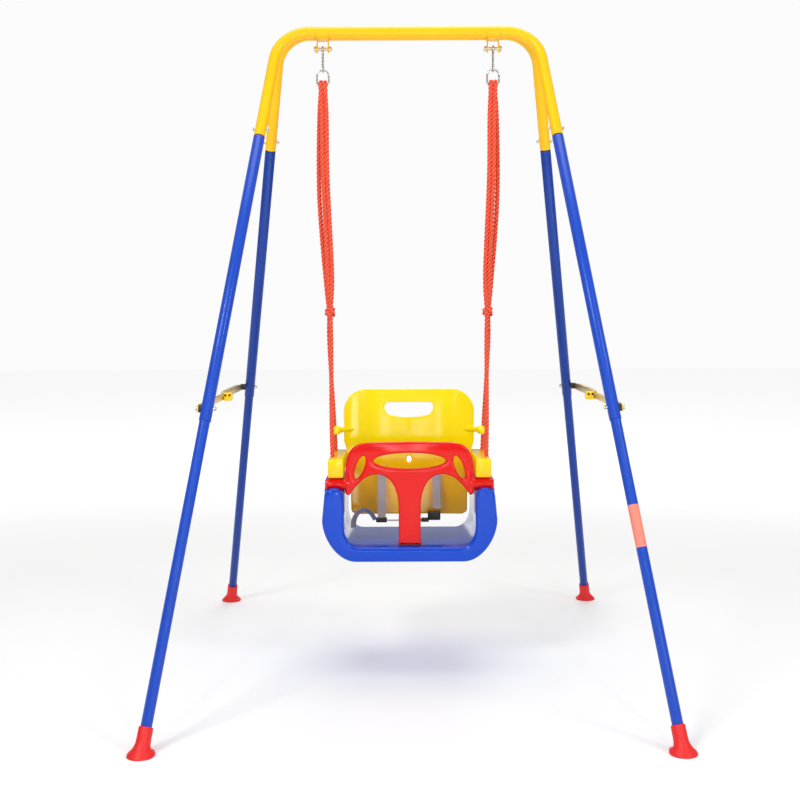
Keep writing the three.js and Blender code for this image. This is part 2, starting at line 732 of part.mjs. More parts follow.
// ---- waist belt: webbing ribbons with their adjusters and buckle ----
function ribbonOutline(points, thickness) {
  const offset = points.map(([a, b], i) => {
    const before = points[Math.max(i - 1, 0)];
    const after = points[Math.min(i + 1, points.length - 1)];
    const length = Math.hypot(after[0] - before[0], after[1] - before[1]);
    const rise = (thickness * (after[1] - before[1])) / length;
    const run = (thickness * (after[0] - before[0])) / length;
    return [a - rise, b + run];
  });
  const shape = new THREE.Shape();
  [...points, ...offset.reverse()].forEach(([a, b], i) => (i ? shape.lineTo(a, b) : shape.moveTo(a, b)));
  shape.closePath();
  return shape;
}

function belt() {
  const group = new THREE.Group();
  const hanging = [
    [98, 454.2],
    [82, 454.2],
    [70, 447],
    [62, 420],
    [50, 390],
    [34, 362],
    [18, 346],
  ];
  for (const side of sides) {
    const lower = side < 0 ? hanging : hanging.slice(0, 6);
    const strap = plateX(ribbonOutline(lower, 1.6), side * 66, strapWidth);
    group.add(mesh(`${sideName(side)}_strap`, strap, webbing()));
  }
  const tail = [
    [-80, 341],
    [-92, 358],
    [-106, 365],
    [-121, 359],
    [-131, 344],
    [-134, 322],
  ];
  group.add(mesh("strap_tail", slab(ribbonOutline(tail, 1.6), -6, 14), webbing()));
  group.add(mesh("left_adjuster", box(-79.3, -53, -4, 15.5, 335, 345.5), black()));
  group.add(mesh("centre_strap", box(-52.7, -20.3, -2, 14, 338, 339.6), webbing()));
  group.add(mesh("buckle", box(-20, 27.7, -6, 18, 333, 344.5), black()));
  const rightAdjuster = join(box(28, 46, -4, 15.5, 336, 344), box(44, 74, 8, 32, 338, 358));
  group.add(mesh("right_adjuster", rightAdjuster, black()));
  return group;
}

// ---- the whole object ----
const root = new THREE.Group();
root.add(sideFrame(-1), sideFrame(1));
for (const side of sides) {
  root.add(brace(side));
  const hanger = new THREE.Group();
  hanger.position.set(side * hook.x, 0, hook.z);
  const bracket = mesh(`${sideName(side)}_hanger_bracket`, hangerBracket(), yellow());
  bracket.position.z = frame.barHeight - hook.z;
  hanger.add(
    bracket,
    mesh(`${sideName(side)}_hanger_bolt`, hangerBolt(side), zinc()),
    mesh(`${sideName(side)}_carabiner`, carabinerBody(), chrome()),
    mesh(`${sideName(side)}_carabiner_gate`, carabinerGate(), chrome()),
    mesh(`${sideName(side)}_ring`, ringBody(), chrome()),
  );
  root.add(hanger);
  root.add(mesh(`${sideName(side)}_rope`, ropeBody(side), orangeRope()));
}
root.add(
  mesh("seat_shell", seatShell(), brightBlue()),
  mesh("guard_bar", guardBody(), red()),
  mesh("backrest", backrest(), yellow()),
  belt(),
);

export default root;
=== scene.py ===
import math
import bmesh
import bpy
from mathutils import Matrix, Vector


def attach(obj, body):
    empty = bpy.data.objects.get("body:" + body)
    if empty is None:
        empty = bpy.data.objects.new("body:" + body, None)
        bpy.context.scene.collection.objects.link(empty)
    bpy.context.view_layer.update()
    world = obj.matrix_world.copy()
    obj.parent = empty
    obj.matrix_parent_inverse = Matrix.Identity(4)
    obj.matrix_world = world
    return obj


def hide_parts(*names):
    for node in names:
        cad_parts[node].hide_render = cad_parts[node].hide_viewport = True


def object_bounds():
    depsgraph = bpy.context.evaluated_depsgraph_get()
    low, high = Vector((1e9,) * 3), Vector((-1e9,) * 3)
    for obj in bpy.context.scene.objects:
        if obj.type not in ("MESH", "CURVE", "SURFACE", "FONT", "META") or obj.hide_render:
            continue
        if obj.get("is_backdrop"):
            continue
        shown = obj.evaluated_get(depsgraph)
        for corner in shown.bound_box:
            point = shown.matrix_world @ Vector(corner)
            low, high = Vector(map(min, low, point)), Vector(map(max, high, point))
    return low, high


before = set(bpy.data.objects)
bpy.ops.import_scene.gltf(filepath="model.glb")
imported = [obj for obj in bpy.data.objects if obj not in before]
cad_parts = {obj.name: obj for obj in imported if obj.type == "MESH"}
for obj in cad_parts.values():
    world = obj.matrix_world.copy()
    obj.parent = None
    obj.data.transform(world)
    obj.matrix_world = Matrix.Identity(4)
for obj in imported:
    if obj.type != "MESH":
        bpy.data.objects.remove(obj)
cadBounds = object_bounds()
mm = 0.001
sideSigns = {"left": -1, "right": 1}
rowSigns = {"front": -1, "rear": 1}


def linearFromHex(code):
    channels = [int(code[i:i + 2], 16) / 255 for i in (1, 3, 5)]
    return [c / 12.92 if c <= 0.04045 else ((c + 0.055) / 1.055) ** 2.4 for c in channels] + [1.0]


def addNode(tree, kind, settings={}, values={}, links={}):
    made = tree.nodes.new(kind)
    for name, value in settings.items():
        setattr(made, name, value)
    for name, value in values.items():
        made.inputs[name].default_value = value
    for name, source in links.items():
        tree.links.new(source, made.inputs[name])
    return made


def placed(name, mesh, body=None, stands=()):
    made = bpy.data.objects.new(name, mesh)
    bpy.context.scene.collection.objects.link(made)
    if body:
        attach(made, body)
    if stands:
        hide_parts(*stands)
    return made


def settledMesh(source):
    # what the modifiers make of it, as a plain mesh
    graph = bpy.context.evaluated_depsgraph_get()
    mesh = bpy.data.meshes.new_from_object(source.evaluated_get(graph), preserve_all_data_layers=True,
                                           depsgraph=graph)
    bpy.data.objects.remove(source)
    return mesh


def tidied(mesh, sharpDegrees=32, mergeBy=0.00002):
    shape = bmesh.new()
    shape.from_mesh(mesh)
    bmesh.ops.remove_doubles(shape, verts=shape.verts, dist=mergeBy)
    bmesh.ops.dissolve_degenerate(shape, edges=shape.edges, dist=mergeBy)
    bmesh.ops.recalc_face_normals(shape, faces=shape.faces)
    shape.to_mesh(mesh)
    shape.free()
    mesh.shade_smooth()
    mesh.set_sharp_from_angle(angle=math.radians(sharpDegrees))
    return mesh


def bezierRun(p0, c0, c1, p1, steps=12):
    run = []
    for i in range(1, steps + 1):
        t = i / steps
        w = ((1 - t) ** 3, 3 * t * (1 - t) ** 2, 3 * t * t * (1 - t), t ** 3)
        run.append(tuple(sum(a * p[k] for a, p in zip(w, (p0, c0, c1, p1))) for k in range(2)))
    return run


def arcRun(centre, radius, fromDegrees, toDegrees, steps=10):
    run = []
    for i in range(steps + 1):
        a = math.radians(fromDegrees + (toDegrees - fromDegrees) * i / steps)
        run.append((centre[0] + radius * math.cos(a), centre[1] + radius * math.sin(a)))
    return run


def mirroredOutline(half):
    # half runs along the right side, from the middle to the middle
    return half + [(-x, z) for x, z in reversed(half) if abs(x) > 0.01]


def extrudedOutline(outlines, y0, y1, rounding, roundSteps=4):
    # flat outlines in X and Z, edge first and then holes, made solid along Y with rounded edges
    curve = bpy.data.curves.new("outline", "CURVE")
    curve.dimensions = "2D"
    curve.fill_mode = "BOTH"
    for points in outlines:
        spline = curve.splines.new("POLY")
        spline.points.add(len(points) - 1)
        spline.use_cyclic_u = True
        for p, (x, z) in zip(spline.points, points):
            p.co = (x * mm, z * mm, 0, 1)
    curve.extrude = (abs(y1 - y0) / 2 - rounding) * mm
    curve.bevel_depth = rounding * mm
    curve.bevel_resolution = roundSteps
    curve.offset = -rounding * mm
    source = bpy.data.objects.new("outline", curve)
    bpy.context.scene.collection.objects.link(source)
    bpy.context.view_layer.update()
    mesh = settledMesh(source)
    mesh.transform(Matrix.Translation((0, (y0 + y1) / 2 * mm, 0)) @ Matrix.Rotation(math.pi / 2, 4, "X"))
    return tidied(mesh)


def ringRound(centre, across, other, radius, sides):
    # a ring of points round a centre in mm, in the plane of two unit directions
    turns = [2 * math.pi * j / sides for j in range(sides)]
    return [(centre + (across * math.cos(a) + other * math.sin(a)) * radius) * mm for a in turns]


def ringsToMesh(rings):
    # rings of equal count joined into a closed skin
    sides = len(rings[0])
    verts = [p for ring in rings for p in ring]
    faces = []
    for i in range(len(rings) - 1):
        for j in range(sides):
            k = (j + 1) % sides
            faces.append((i * sides + j, i * sides + k, (i + 1) * sides + k, (i + 1) * sides + j))
    faces.append(tuple(range(sides)))
    faces.append(tuple((len(rings) - 1) * sides + j for j in reversed(range(sides))))
    mesh = bpy.data.meshes.new("loft")
    mesh.from_pydata([tuple(v) for v in verts], [], faces)
    return mesh


def spunX(profile, sides=40):
    # profile of (x, radius) in mm, spun about the X axis
    rings = []
    for x, r in profile:
        rings.append([(x * mm, r * mm * math.cos(2 * math.pi * j / sides),
                       r * mm * math.sin(2 * math.pi * j / sides))
                      for j in range(sides)])
    return ringsToMesh(rings)


def meshFrom(shape, name):
    mesh = bpy.data.meshes.new(name)
    shape.to_mesh(mesh)
    shape.free()
    return mesh


def joinedMesh(meshes):
    shape = bmesh.new()
    for mesh in meshes:
        shape.from_mesh(mesh)
    return meshFrom(shape, "joined")


def hexMesh(spans, rounding):
    # six-sided heads along X, each given as (start, end, radius) in mm
    shape = bmesh.new()
    for x0, x1, r in spans:
        place = Matrix.Translation(((x0 + x1) / 2 * mm, 0, 0)) @ Matrix.Rotation(math.pi / 2, 4, "Y")
        bmesh.ops.create_cone(shape, cap_ends=True, segments=6, radius1=r * mm, radius2=r * mm,
                              depth=(x1 - x0) * mm, matrix=place)
    bmesh.ops.bevel(shape, geom=shape.edges[:], offset=rounding * mm, segments=2, profile=0.5, affect="EDGES")
    return meshFrom(shape, "hexes")


def blockMesh(x0, x1, y0, y1, z0, z1, rounding=1.0, steps=3):
    shape = bmesh.new()
    bmesh.ops.create_cube(shape, size=1)
    size = Vector((x1 - x0, y1 - y0, z1 - z0)) * mm
    centre = Vector((x0 + x1, y0 + y1, z0 + z1)) * mm / 2
    bmesh.ops.transform(shape, matrix=Matrix.Translation(centre) @ Matrix.Diagonal((*size, 1)),
                        verts=shape.verts)
    bmesh.ops.bevel(shape, geom=shape.edges[:], offset=rounding * mm, segments=steps, profile=0.5,
                    affect="EDGES")
    return meshFrom(shape, "block")


def booleanMesh(body, cutters, operation="DIFFERENCE"):
    holder = placed("booleanBody", body)
    tools = []
    for cutter in cutters:
        tool = placed("booleanTool", cutter)
        tools.append(tool)
        change = holder.modifiers.new("cut", "BOOLEAN")
        change.operation = operation
        change.solver = "EXACT"
        change.object = tool
    bpy.context.view_layer.update()
    mesh = settledMesh(holder)
    for tool in tools:
        bpy.data.objects.remove(tool)
    return mesh


def newNodeShape(name, sockets):
    tree = bpy.data.node_groups.new(name, "GeometryNodeTree")
    tree.interface.new_socket("Geometry", in_out="INPUT", socket_type="NodeSocketGeometry")
    tree.interface.new_socket("Geometry", in_out="OUTPUT", socket_type="NodeSocketGeometry")
    for label, kind in sockets:
        tree.interface.new_socket(label, in_out="INPUT", socket_type=kind)
    return tree, tree.nodes.new("NodeGroupInput"), tree.nodes.new("NodeGroupOutput")


def grown(source, tree, given):
    # runs a node tree on an object and returns the plain mesh
    change = source.modifiers.new("grow", "NODES")
    change.node_group = tree
    for item in tree.interface.items_tree:
        if item.in_out == "INPUT" and item.name in given:
            change[item.identifier] = given[item.name]
    bpy.context.view_layer.update()
    return settledMesh(source)


def polyCurve(name, runs):
    curve = bpy.data.curves.new(name, "CURVE")
    curve.dimensions = "3D"
    curve.twist_mode = "MINIMUM"
    for run, closed in runs:
        spline = curve.splines.new("POLY")
        spline.points.add(len(run) - 1)
        spline.use_cyclic_u = closed
        for p, v in zip(spline.points, run):
            p.co = (v[0] * mm, v[1] * mm, v[2] * mm, 1)
    made = bpy.data.objects.new(name, curve)
    bpy.context.scene.collection.objects.link(made)
    return made


def smoothRoute(points, step=6.0):
    # a rounded line through the points, in mm
    pts = [Vector(p) for p in points]
    pts = [pts[0] * 2 - pts[1]] + pts + [pts[-1] * 2 - pts[-2]]
    route = []
    for i in range(1, len(pts) - 2):
        p0, p1, p2, p3 = pts[i - 1:i + 3]
        d0, d1, d2 = ((b - a).length ** 0.5 for a, b in ((p0, p1), (p1, p2), (p2, p3)))
        m1 = (p1 - p0) / d0 - (p2 - p0) / (d0 + d1) + (p2 - p1) / d1
        m2 = (p2 - p1) / d1 - (p3 - p1) / (d1 + d2) + (p3 - p2) / d2
        count = max(2, round((p2 - p1).length / step))
        for k in range(count):
            t = k / count
            a = (1 + 2 * t) * (1 - t) ** 2
            b = t * (1 - t) ** 2 * d1
            c = t * t * (3 - 2 * t)
            d = t * t * (t - 1) * d1
            route.append(p1 * a + m1 * b + p2 * c + m2 * d)
    route.append(pts[-2])
    return route


def routeLength(route):
    return sum((b - a).length for a, b in zip(route, route[1:]))


studio = {"cameraAt": (-0.0176, -2.813, 0.838), "yaw": -0.07, "pitch": -4.32, "roll": -0.21, "lens": 54.0,
          "shiftX": -0.00375, "floorColour": "#FAFAFA", "skyLight": 0.4, "skySeen": 0.97}
yaw, pitch, roll = (math.radians(studio[k]) for k in ("yaw", "pitch", "roll"))
ahead = Vector((-math.sin(yaw) * math.cos(pitch), math.cos(yaw) * math.cos(pitch), math.sin(pitch)))
level = Vector((math.cos(yaw), math.sin(yaw), 0))
upward = level.cross(ahead)
rightward = level * math.cos(roll) + upward * math.sin(roll)
upward = upward * math.cos(roll) - level * math.sin(roll)
lensData = bpy.data.cameras.new("studioCamera")
lensData.lens = studio["lens"]
lensData.sensor_width = 36
lensData.shift_x = studio["shiftX"]
camera = bpy.data.objects.new("studioCamera", lensData)
bpy.context.scene.collection.objects.link(camera)
turn = Matrix((rightward, upward, -ahead)).transposed().to_4x4()
camera.matrix_world = Matrix.Translation(studio["cameraAt"]) @ turn
bpy.context.scene.camera = camera

world = bpy.data.worlds.new("softWhite")
bpy.context.scene.world = world
world.use_nodes = True
sky = world.node_tree.nodes["Background"]
sky.inputs["Color"].default_value = (1, 1, 1, 1)
# the backdrop is seen nearly white, but lights the swing more gently
seen = addNode(world.node_tree, "ShaderNodeLightPath")
skyLevel = addNode(world.node_tree, "ShaderNodeMapRange",
                   values={"To Min": studio["skyLight"], "To Max": studio["skySeen"]},
                   links={"Value": seen.outputs["Is Camera Ray"]})
world.node_tree.links.new(skyLevel.outputs["Result"], sky.inputs["Strength"])
bpy.context.scene.view_settings.view_transform = "Standard"

softBoxes = {"keyBox": ((-1.9, -2.8, 3.4), 1.0, 1.0, 52), "fillBox": ((2.6, -2.4, 2.8), 0.9, 0.9, 24),
             "stripLeft": ((-0.85, -3.0, 1.5), 0.12, 1.3, 7), "stripRight": ((0.85, -3.0, 1.5), 0.12, 1.3, 7),
             "lowBox": ((1.7, -3.2, 0.6), 0.7, 0.7, 10), "windowLeft": ((-0.135, -3.2, 0.5), 0.085, 0.62, 1.5),
             "windowRight": ((0.085, -3.2, 0.5), 0.085, 0.62, 1.5),
             "topBox": ((0.0, 0.2, 4.2), 2.6, 2.6, 66), "backBox": ((0.4, 3.4, 3.2), 1.6, 1.2, 26)}
for name, (at, width, height, watts) in softBoxes.items():
    light = bpy.data.lights.new(name, "AREA")
    light.shape = "RECTANGLE"
    light.size = width
    light.size_y = height
    light.energy = watts
    lamp = bpy.data.objects.new(name, light)
    bpy.context.scene.collection.objects.link(lamp)
    lamp.location = at
    lamp.rotation_euler = (Vector((0, 0, 0.75)) - Vector(at)).to_track_quat("-Z", "Y").to_euler()

floorMesh = bpy.data.meshes.new("studioFloor")
floorMesh.from_pydata([(-14, -14, 0), (14, -14, 0), (14, 14, 0), (-14, 14, 0)], [], [(0, 1, 2, 3)])
studioFloor = placed("studioFloor", floorMesh)
floorPaint = bpy.data.materials.new("matteStudioPaint")
floorPaint.use_nodes = True
floorShader = floorPaint.node_tree.nodes["Principled BSDF"]
floorShader.inputs["Base Color"].default_value = linearFromHex(studio["floorColour"])
floorShader.inputs["Roughness"].default_value = 0.9
floorShader.inputs["Emission Color"].default_value = (1, 1, 1, 1)
# the far floor glows a little, so that it runs into the backdrop on every side
floorPlace = addNode(floorPaint.node_tree, "ShaderNodeTexCoord")
outward = addNode(floorPaint.node_tree, "ShaderNodeVectorMath", {"operation": "LENGTH"},
                  links={0: floorPlace.outputs["Object"]})
glow = addNode(floorPaint.node_tree, "ShaderNodeMapRange", {"interpolation_type": "SMOOTHSTEP"},
               {"From Min": 1.2, "From Max": 4.5, "To Max": 0.55}, {"Value": outward.outputs["Value"]})
floorPaint.node_tree.links.new(glow.outputs["Result"], floorShader.inputs["Emission Strength"])
floorMesh.materials.append(floorPaint)
studioFloor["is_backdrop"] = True
print("studio ready")


def startFinish(name, fixed):
    material = bpy.data.materials.new(name)
    material.use_nodes = True
    tree = material.node_tree
    shader = tree.nodes["Principled BSDF"]
    for label, value in fixed.items():
        shader.inputs[label].default_value = value
    coords = addNode(tree, "ShaderNodeTexCoord")
    return material, tree, shader, coords.outputs["Object"]


def powderCoat(name, main, deep):
    # polyester powder coat on steel: a wet shine with a faint orange peel, and thinner colour in patches
    material, tree, shader, place = startFinish(name,
                                                {"IOR": 1.5, "Specular IOR Level": 0.28, "Coat Weight": 0.1,
                                                 "Coat Roughness": 0.06})
    patches = addNode(tree, "ShaderNodeTexNoise", values={"Scale": 9, "Detail": 3}, links={"Vector": place})
    colour = addNode(tree, "ShaderNodeMix", {"data_type": "RGBA"},
                     {6: linearFromHex(main), 7: linearFromHex(deep)}, {0: patches.outputs["Fac"]})
    tree.links.new(colour.outputs[2], shader.inputs["Base Color"])
    peel = addNode(tree, "ShaderNodeTexNoise", values={"Scale": 420, "Detail": 2},
                   links={"Vector": place})  # 2.4 mm ripples
    shine = addNode(tree, "ShaderNodeMapRange", values={"To Min": 0.24, "To Max": 0.36},
                    links={"Value": peel.outputs["Fac"]})
    tree.links.new(shine.outputs["Result"], shader.inputs["Roughness"])
    bump = addNode(tree, "ShaderNodeBump", values={"Strength": 0.10, "Distance": 0.0005},
                   links={"Height": peel.outputs["Fac"]})
    tree.links.new(bump.outputs["Normal"], shader.inputs["Normal"])
    return material


def mouldedPlastic(name, main, deep, lowShade=None):
    # blow-moulded polyethylene: waxy gloss, slow waves from cooling, fine handling scuffs
    material, tree, shader, place = startFinish(name,
                                                {"IOR": 1.51, "Specular IOR Level": 0.28, "Coat Weight": 0.1,
                                                 "Coat Roughness": 0.05})
    waves = addNode(tree, "ShaderNodeTexNoise", values={"Scale": 14, "Detail": 2}, links={"Vector": place})
    colour = addNode(tree, "ShaderNodeMix", {"data_type": "RGBA"},
                     {6: linearFromHex(main), 7: linearFromHex(deep)}, {0: waves.outputs["Fac"]})
    surface = colour.outputs[2]
    if lowShade:
        # painted shade: the panel turns deeper and more saturated low down, for the shade it lies in behind the
        # guard
        split = addNode(tree, "ShaderNodeSeparateXYZ", links={"Vector": place})
        lower = addNode(tree, "ShaderNodeMapRange", {"interpolation_type": "SMOOTHSTEP"},
                        {"From Min": 0.54, "From Max": 0.44}, {"Value": split.outputs["Z"]})
        lowShadeMix = addNode(tree, "ShaderNodeMix", {"data_type": "RGBA"}, {7: linearFromHex(lowShade)},
                         {0: lower.outputs["Result"], 6: surface})
        surface = lowShadeMix.outputs[2]
    tree.links.new(surface, shader.inputs["Base Color"])
    stretched = addNode(tree, "ShaderNodeMapping", values={"Scale": (260, 40, 90), "Rotation": (0.3, 0.5, 0.9)},
                        links={"Vector": place})
    scuffs = addNode(tree, "ShaderNodeTexNoise", values={"Scale": 1, "Detail": 5, "Roughness": 0.7},
                     links={"Vector": stretched.outputs["Vector"]})
    shine = addNode(tree, "ShaderNodeMapRange", values={"From Min": 0.35, "From Max": 0.75, "To Min": 0.09,
                                                        "To Max": 0.17},
                    links={"Value": scuffs.outputs["Fac"]})
    tree.links.new(shine.outputs["Result"], shader.inputs["Roughness"])
    cooling = addNode(tree, "ShaderNodeBump", values={"Strength": 0.25, "Distance": 0.001},
                      links={"Height": waves.outputs["Fac"]})
    fine = addNode(tree, "ShaderNodeBump", values={"Strength": 0.04, "Distance": 0.0004},
                   links={"Height": scuffs.outputs["Fac"], "Normal": cooling.outputs["Normal"]})
    tree.links.new(fine.outputs["Normal"], shader.inputs["Normal"])
    return material


def zincPassivate(name, low, middleColour, high):
    # chromate over zinc plate: clouded gold or straw, with a dull metal shine
    material, tree, shader, place = startFinish(name, {"Metallic": 1.0})
    clouds = addNode(tree, "ShaderNodeTexNoise", values={"Scale": 85, "Detail": 4}, links={"Vector": place})
    ramp = addNode(tree, "ShaderNodeValToRGB", links={"Fac": clouds.outputs["Fac"]})
    ramp.color_ramp.elements[0].position = 0.32
    ramp.color_ramp.elements[0].color = linearFromHex(low)
    ramp.color_ramp.elements[1].position = 0.68
    ramp.color_ramp.elements[1].color = linearFromHex(high)
    middle = ramp.color_ramp.elements.new(0.5)
    middle.color = linearFromHex(middleColour)
    tree.links.new(ramp.outputs["Color"], shader.inputs["Base Color"])
    grain = addNode(tree, "ShaderNodeTexNoise", values={"Scale": 900, "Detail": 2}, links={"Vector": place})
    shine = addNode(tree, "ShaderNodeMapRange", values={"To Min": 0.26, "To Max": 0.42},
                    links={"Value": grain.outputs["Fac"]})
    tree.links.new(shine.outputs["Result"], shader.inputs["Roughness"])
    bump = addNode(tree, "ShaderNodeBump", values={"Strength": 0.15, "Distance": 0.0002},
                   links={"Height": grain.outputs["Fac"]})
    tree.links.new(bump.outputs["Normal"], shader.inputs["Normal"])
    return material


def platedWire(name):
    # bright nickel on drawn steel wire, with faint draw lines
    material, tree, shader, place = startFinish(name, {"Metallic": 1.0})
    drawn = addNode(tree, "ShaderNodeMapping", values={"Scale": (900, 900, 60)}, links={"Vector": place})
    lines = addNode(tree, "ShaderNodeTexNoise", values={"Scale": 1, "Detail": 3},
                    links={"Vector": drawn.outputs["Vector"]})
    colour = addNode(tree, "ShaderNodeMix", {"data_type": "RGBA"},
                     {6: linearFromHex("#D9D8D4"), 7: linearFromHex("#A9A7A2")}, {0: lines.outputs["Fac"]})
    tree.links.new(colour.outputs[2], shader.inputs["Base Color"])
    shine = addNode(tree, "ShaderNodeMapRange", values={"To Min": 0.12, "To Max": 0.28},
                    links={"Value": lines.outputs["Fac"]})
    tree.links.new(shine.outputs["Result"], shader.inputs["Roughness"])
    return material


def mouldedMatte(name, main, deep, low, high, grainScale, bumpDepth, ior=1.5):
    # nylon or rubber straight from a lightly sparked mould
    material, tree, shader, place = startFinish(name, {"IOR": ior})
    spark = addNode(tree, "ShaderNodeTexNoise", values={"Scale": grainScale, "Detail": 4},
                    links={"Vector": place})
    cloudy = addNode(tree, "ShaderNodeTexNoise", values={"Scale": 30, "Detail": 2}, links={"Vector": place})
    colour = addNode(tree, "ShaderNodeMix", {"data_type": "RGBA"},
                     {6: linearFromHex(main), 7: linearFromHex(deep)}, {0: cloudy.outputs["Fac"]})
    tree.links.new(colour.outputs[2], shader.inputs["Base Color"])
    shine = addNode(tree, "ShaderNodeMapRange", values={"To Min": low, "To Max": high},
                    links={"Value": spark.outputs["Fac"]})
    tree.links.new(shine.outputs["Result"], shader.inputs["Roughness"])
    bump = addNode(tree, "ShaderNodeBump", values={"Strength": 0.3, "Distance": bumpDepth},
                   links={"Height": spark.outputs["Fac"]})
    tree.links.new(bump.outputs["Normal"], shader.inputs["Normal"])
    return material


def twistedPolyester(name):
    # laid polyester rope: fine parallel yarns on each strand, a soft sheen, darker between the yarns, and
    # painted shade in deep red down between the strands
    material, tree, shader, place = startFinish(name,
                                                {"Sheen Weight": 0.25, "Sheen Roughness": 0.4, "IOR": 1.45})
    along = addNode(tree, "ShaderNodeAttribute", {"attribute_name": "along"})
    around = addNode(tree, "ShaderNodeAttribute", {"attribute_name": "around"})
    stretch = addNode(tree, "ShaderNodeMath", {"operation": "MULTIPLY"}, {1: 70.0}, {0: along.outputs["Fac"]})
    spread = addNode(tree, "ShaderNodeMath", {"operation": "MULTIPLY"}, {1: 16.0},
                     {0: around.outputs["Fac"]})  # 1 mm yarns
    flat = addNode(tree, "ShaderNodeCombineXYZ", links={"X": spread.outputs[0], "Y": stretch.outputs[0]})
    yarns = addNode(tree, "ShaderNodeTexNoise", values={"Scale": 1.2, "Detail": 4},
                    links={"Vector": flat.outputs["Vector"]})
    ramp = addNode(tree, "ShaderNodeValToRGB", links={"Fac": yarns.outputs["Fac"]})
    ramp.color_ramp.elements[0].position = 0.3
    ramp.color_ramp.elements[0].color = linearFromHex("#E2331A")
    ramp.color_ramp.elements[1].position = 0.62
    ramp.color_ramp.elements[1].color = linearFromHex("#FF6A45")
    # painted shade: deep red down between the strands, the nearer a point lies to the rope's core
    proud = addNode(tree, "ShaderNodeAttribute", {"attribute_name": "proud"})
    outer = addNode(tree, "ShaderNodeMapRange", {"interpolation_type": "SMOOTHSTEP"},
                    {"From Min": 0.0036, "From Max": 0.0050}, {"Value": proud.outputs["Fac"]})
    strandShade = addNode(tree, "ShaderNodeMix", {"data_type": "RGBA"}, {6: linearFromHex("#A81808")},
                      {0: outer.outputs["Result"], 7: ramp.outputs["Color"]})
    tree.links.new(strandShade.outputs[2], shader.inputs["Base Color"])
    shine = addNode(tree, "ShaderNodeMapRange", values={"To Min": 0.5, "To Max": 0.75},
                    links={"Value": yarns.outputs["Fac"]})
    tree.links.new(shine.outputs["Result"], shader.inputs["Roughness"])
    bump = addNode(tree, "ShaderNodeBump", values={"Strength": 0.5, "Distance": 0.0006},
                   links={"Height": yarns.outputs["Fac"]})
    tree.links.new(bump.outputs["Normal"], shader.inputs["Normal"])
    return material


def wovenWebbing(name):
    # flat woven webbing: chevron ribs 1.6 mm apart and a slightly fuzzy face
    material, tree, shader, place = startFinish(name, {"Sheen Weight": 0.3, "IOR": 1.45})
    along = addNode(tree, "ShaderNodeAttribute", {"attribute_name": "along"})
    across = addNode(tree, "ShaderNodeAttribute", {"attribute_name": "across"})
    rib = addNode(tree, "ShaderNodeMath", {"operation": "MULTIPLY"}, {1: 3927.0}, {0: along.outputs["Fac"]})
    warp = addNode(tree, "ShaderNodeMath", {"operation": "MULTIPLY"}, {1: 3927.0}, {0: across.outputs["Fac"]})
    folded = addNode(tree, "ShaderNodeMath", {"operation": "ABSOLUTE"}, links={0: warp.outputs[0]})
    slant = addNode(tree, "ShaderNodeMath", {"operation": "ADD"},
                    links={0: rib.outputs[0], 1: folded.outputs[0]})
    ribs = addNode(tree, "ShaderNodeMath", {"operation": "SINE"}, links={0: slant.outputs[0]})
    fuzz = addNode(tree, "ShaderNodeTexNoise", values={"Scale": 700, "Detail": 3}, links={"Vector": place})
    height = addNode(tree, "ShaderNodeMath", {"operation": "ADD"},
                     links={0: ribs.outputs[0], 1: fuzz.outputs["Fac"]})
    lift = addNode(tree, "ShaderNodeMapRange", values={"From Min": -1, "From Max": 2},
                   links={"Value": height.outputs[0]})
    colour = addNode(tree, "ShaderNodeMix", {"data_type": "RGBA"},
                     {6: linearFromHex("#8F8A8C"), 7: linearFromHex("#C4C0C2")}, {0: lift.outputs["Result"]})
    tree.links.new(colour.outputs[2], shader.inputs["Base Color"])
    shine = addNode(tree, "ShaderNodeMapRange", values={"To Min": 0.9, "To Max": 0.7},
                    links={"Value": lift.outputs["Result"]})
    tree.links.new(shine.outputs["Result"], shader.inputs["Roughness"])
    bump = addNode(tree, "ShaderNodeBump", values={"Strength": 0.6, "Distance": 0.0004},
                   links={"Height": lift.outputs["Result"]})
    tree.links.new(bump.outputs["Normal"], shader.inputs["Normal"])
    return material


finishes = {
    "yellowTube": powderCoat("powderCoatYellow", "#FCC500", "#F5BA00"),
    "blueTube": powderCoat("powderCoatBlue", "#154CC4", "#1240AC"),
    # painted shade: a darker copy of the blue powder coat, used on the rear legs
    "shadedBlueTube": powderCoat("powderCoatBlueShaded", "#1340A0", "#0F348A"),
    # painted shade: the deeper orange low on the backrest stands in for the guard's shadow
    "yellowMoulding": mouldedPlastic("polyethyleneYellow", "#FFEA00", "#FFE200", lowShade="#FFC010"),
    "yellowFitting": mouldedPlastic("polypropyleneYellow", "#FFDB12", "#FAC808"),
    "redMoulding": mouldedPlastic("polyethyleneRed", "#E40703", "#D80400"),
    "blueMoulding": mouldedPlastic("polyethyleneBlue", "#0047C8", "#0040BC"),
    "zinc": zincPassivate("goldChromateZinc", "#CDB467", "#EBCB7C", "#E6CB9B"),
    "brightZinc": zincPassivate("clearChromateZinc", "#BDB8A8", "#D9D2BB", "#E2D6B0"),
    "wire": platedWire("nickelledWire"),
    "black": mouldedMatte("blackNylon", "#17171A", "#0D0D0F", 0.38, 0.55, 900, 0.0002, 1.53),
    "rubber": mouldedMatte("redRubber", "#EE1A1A", "#D81212", 0.38, 0.52, 700, 0.0003, 1.52),
    "label": mouldedMatte("coralVinylLabel", "#F08C78", "#EE8470", 0.4, 0.5, 600, 0.0001),
    "rope": twistedPolyester("laidPolyesterOrange"),
    "webbing": wovenWebbing("greyWebbing"),
}
print("finishes ready")


def finished(name, mesh, finish, body, stands=()):
    mesh.materials.clear()
    mesh.materials.append(finishes[finish])
    mesh.polygons.foreach_set("material_index", [0] * len(mesh.polygons))
    return placed(name, mesh, body, stands)


rope = {"radius": 5.4, "pitch": 29.0, "knotZ": 832, "seatX": 177.5, "frontY": -62, "rearY": 75, "hangX": 196,
        "ringBend": 9, "ringBendZ": 1435 - 86.6 + 3}


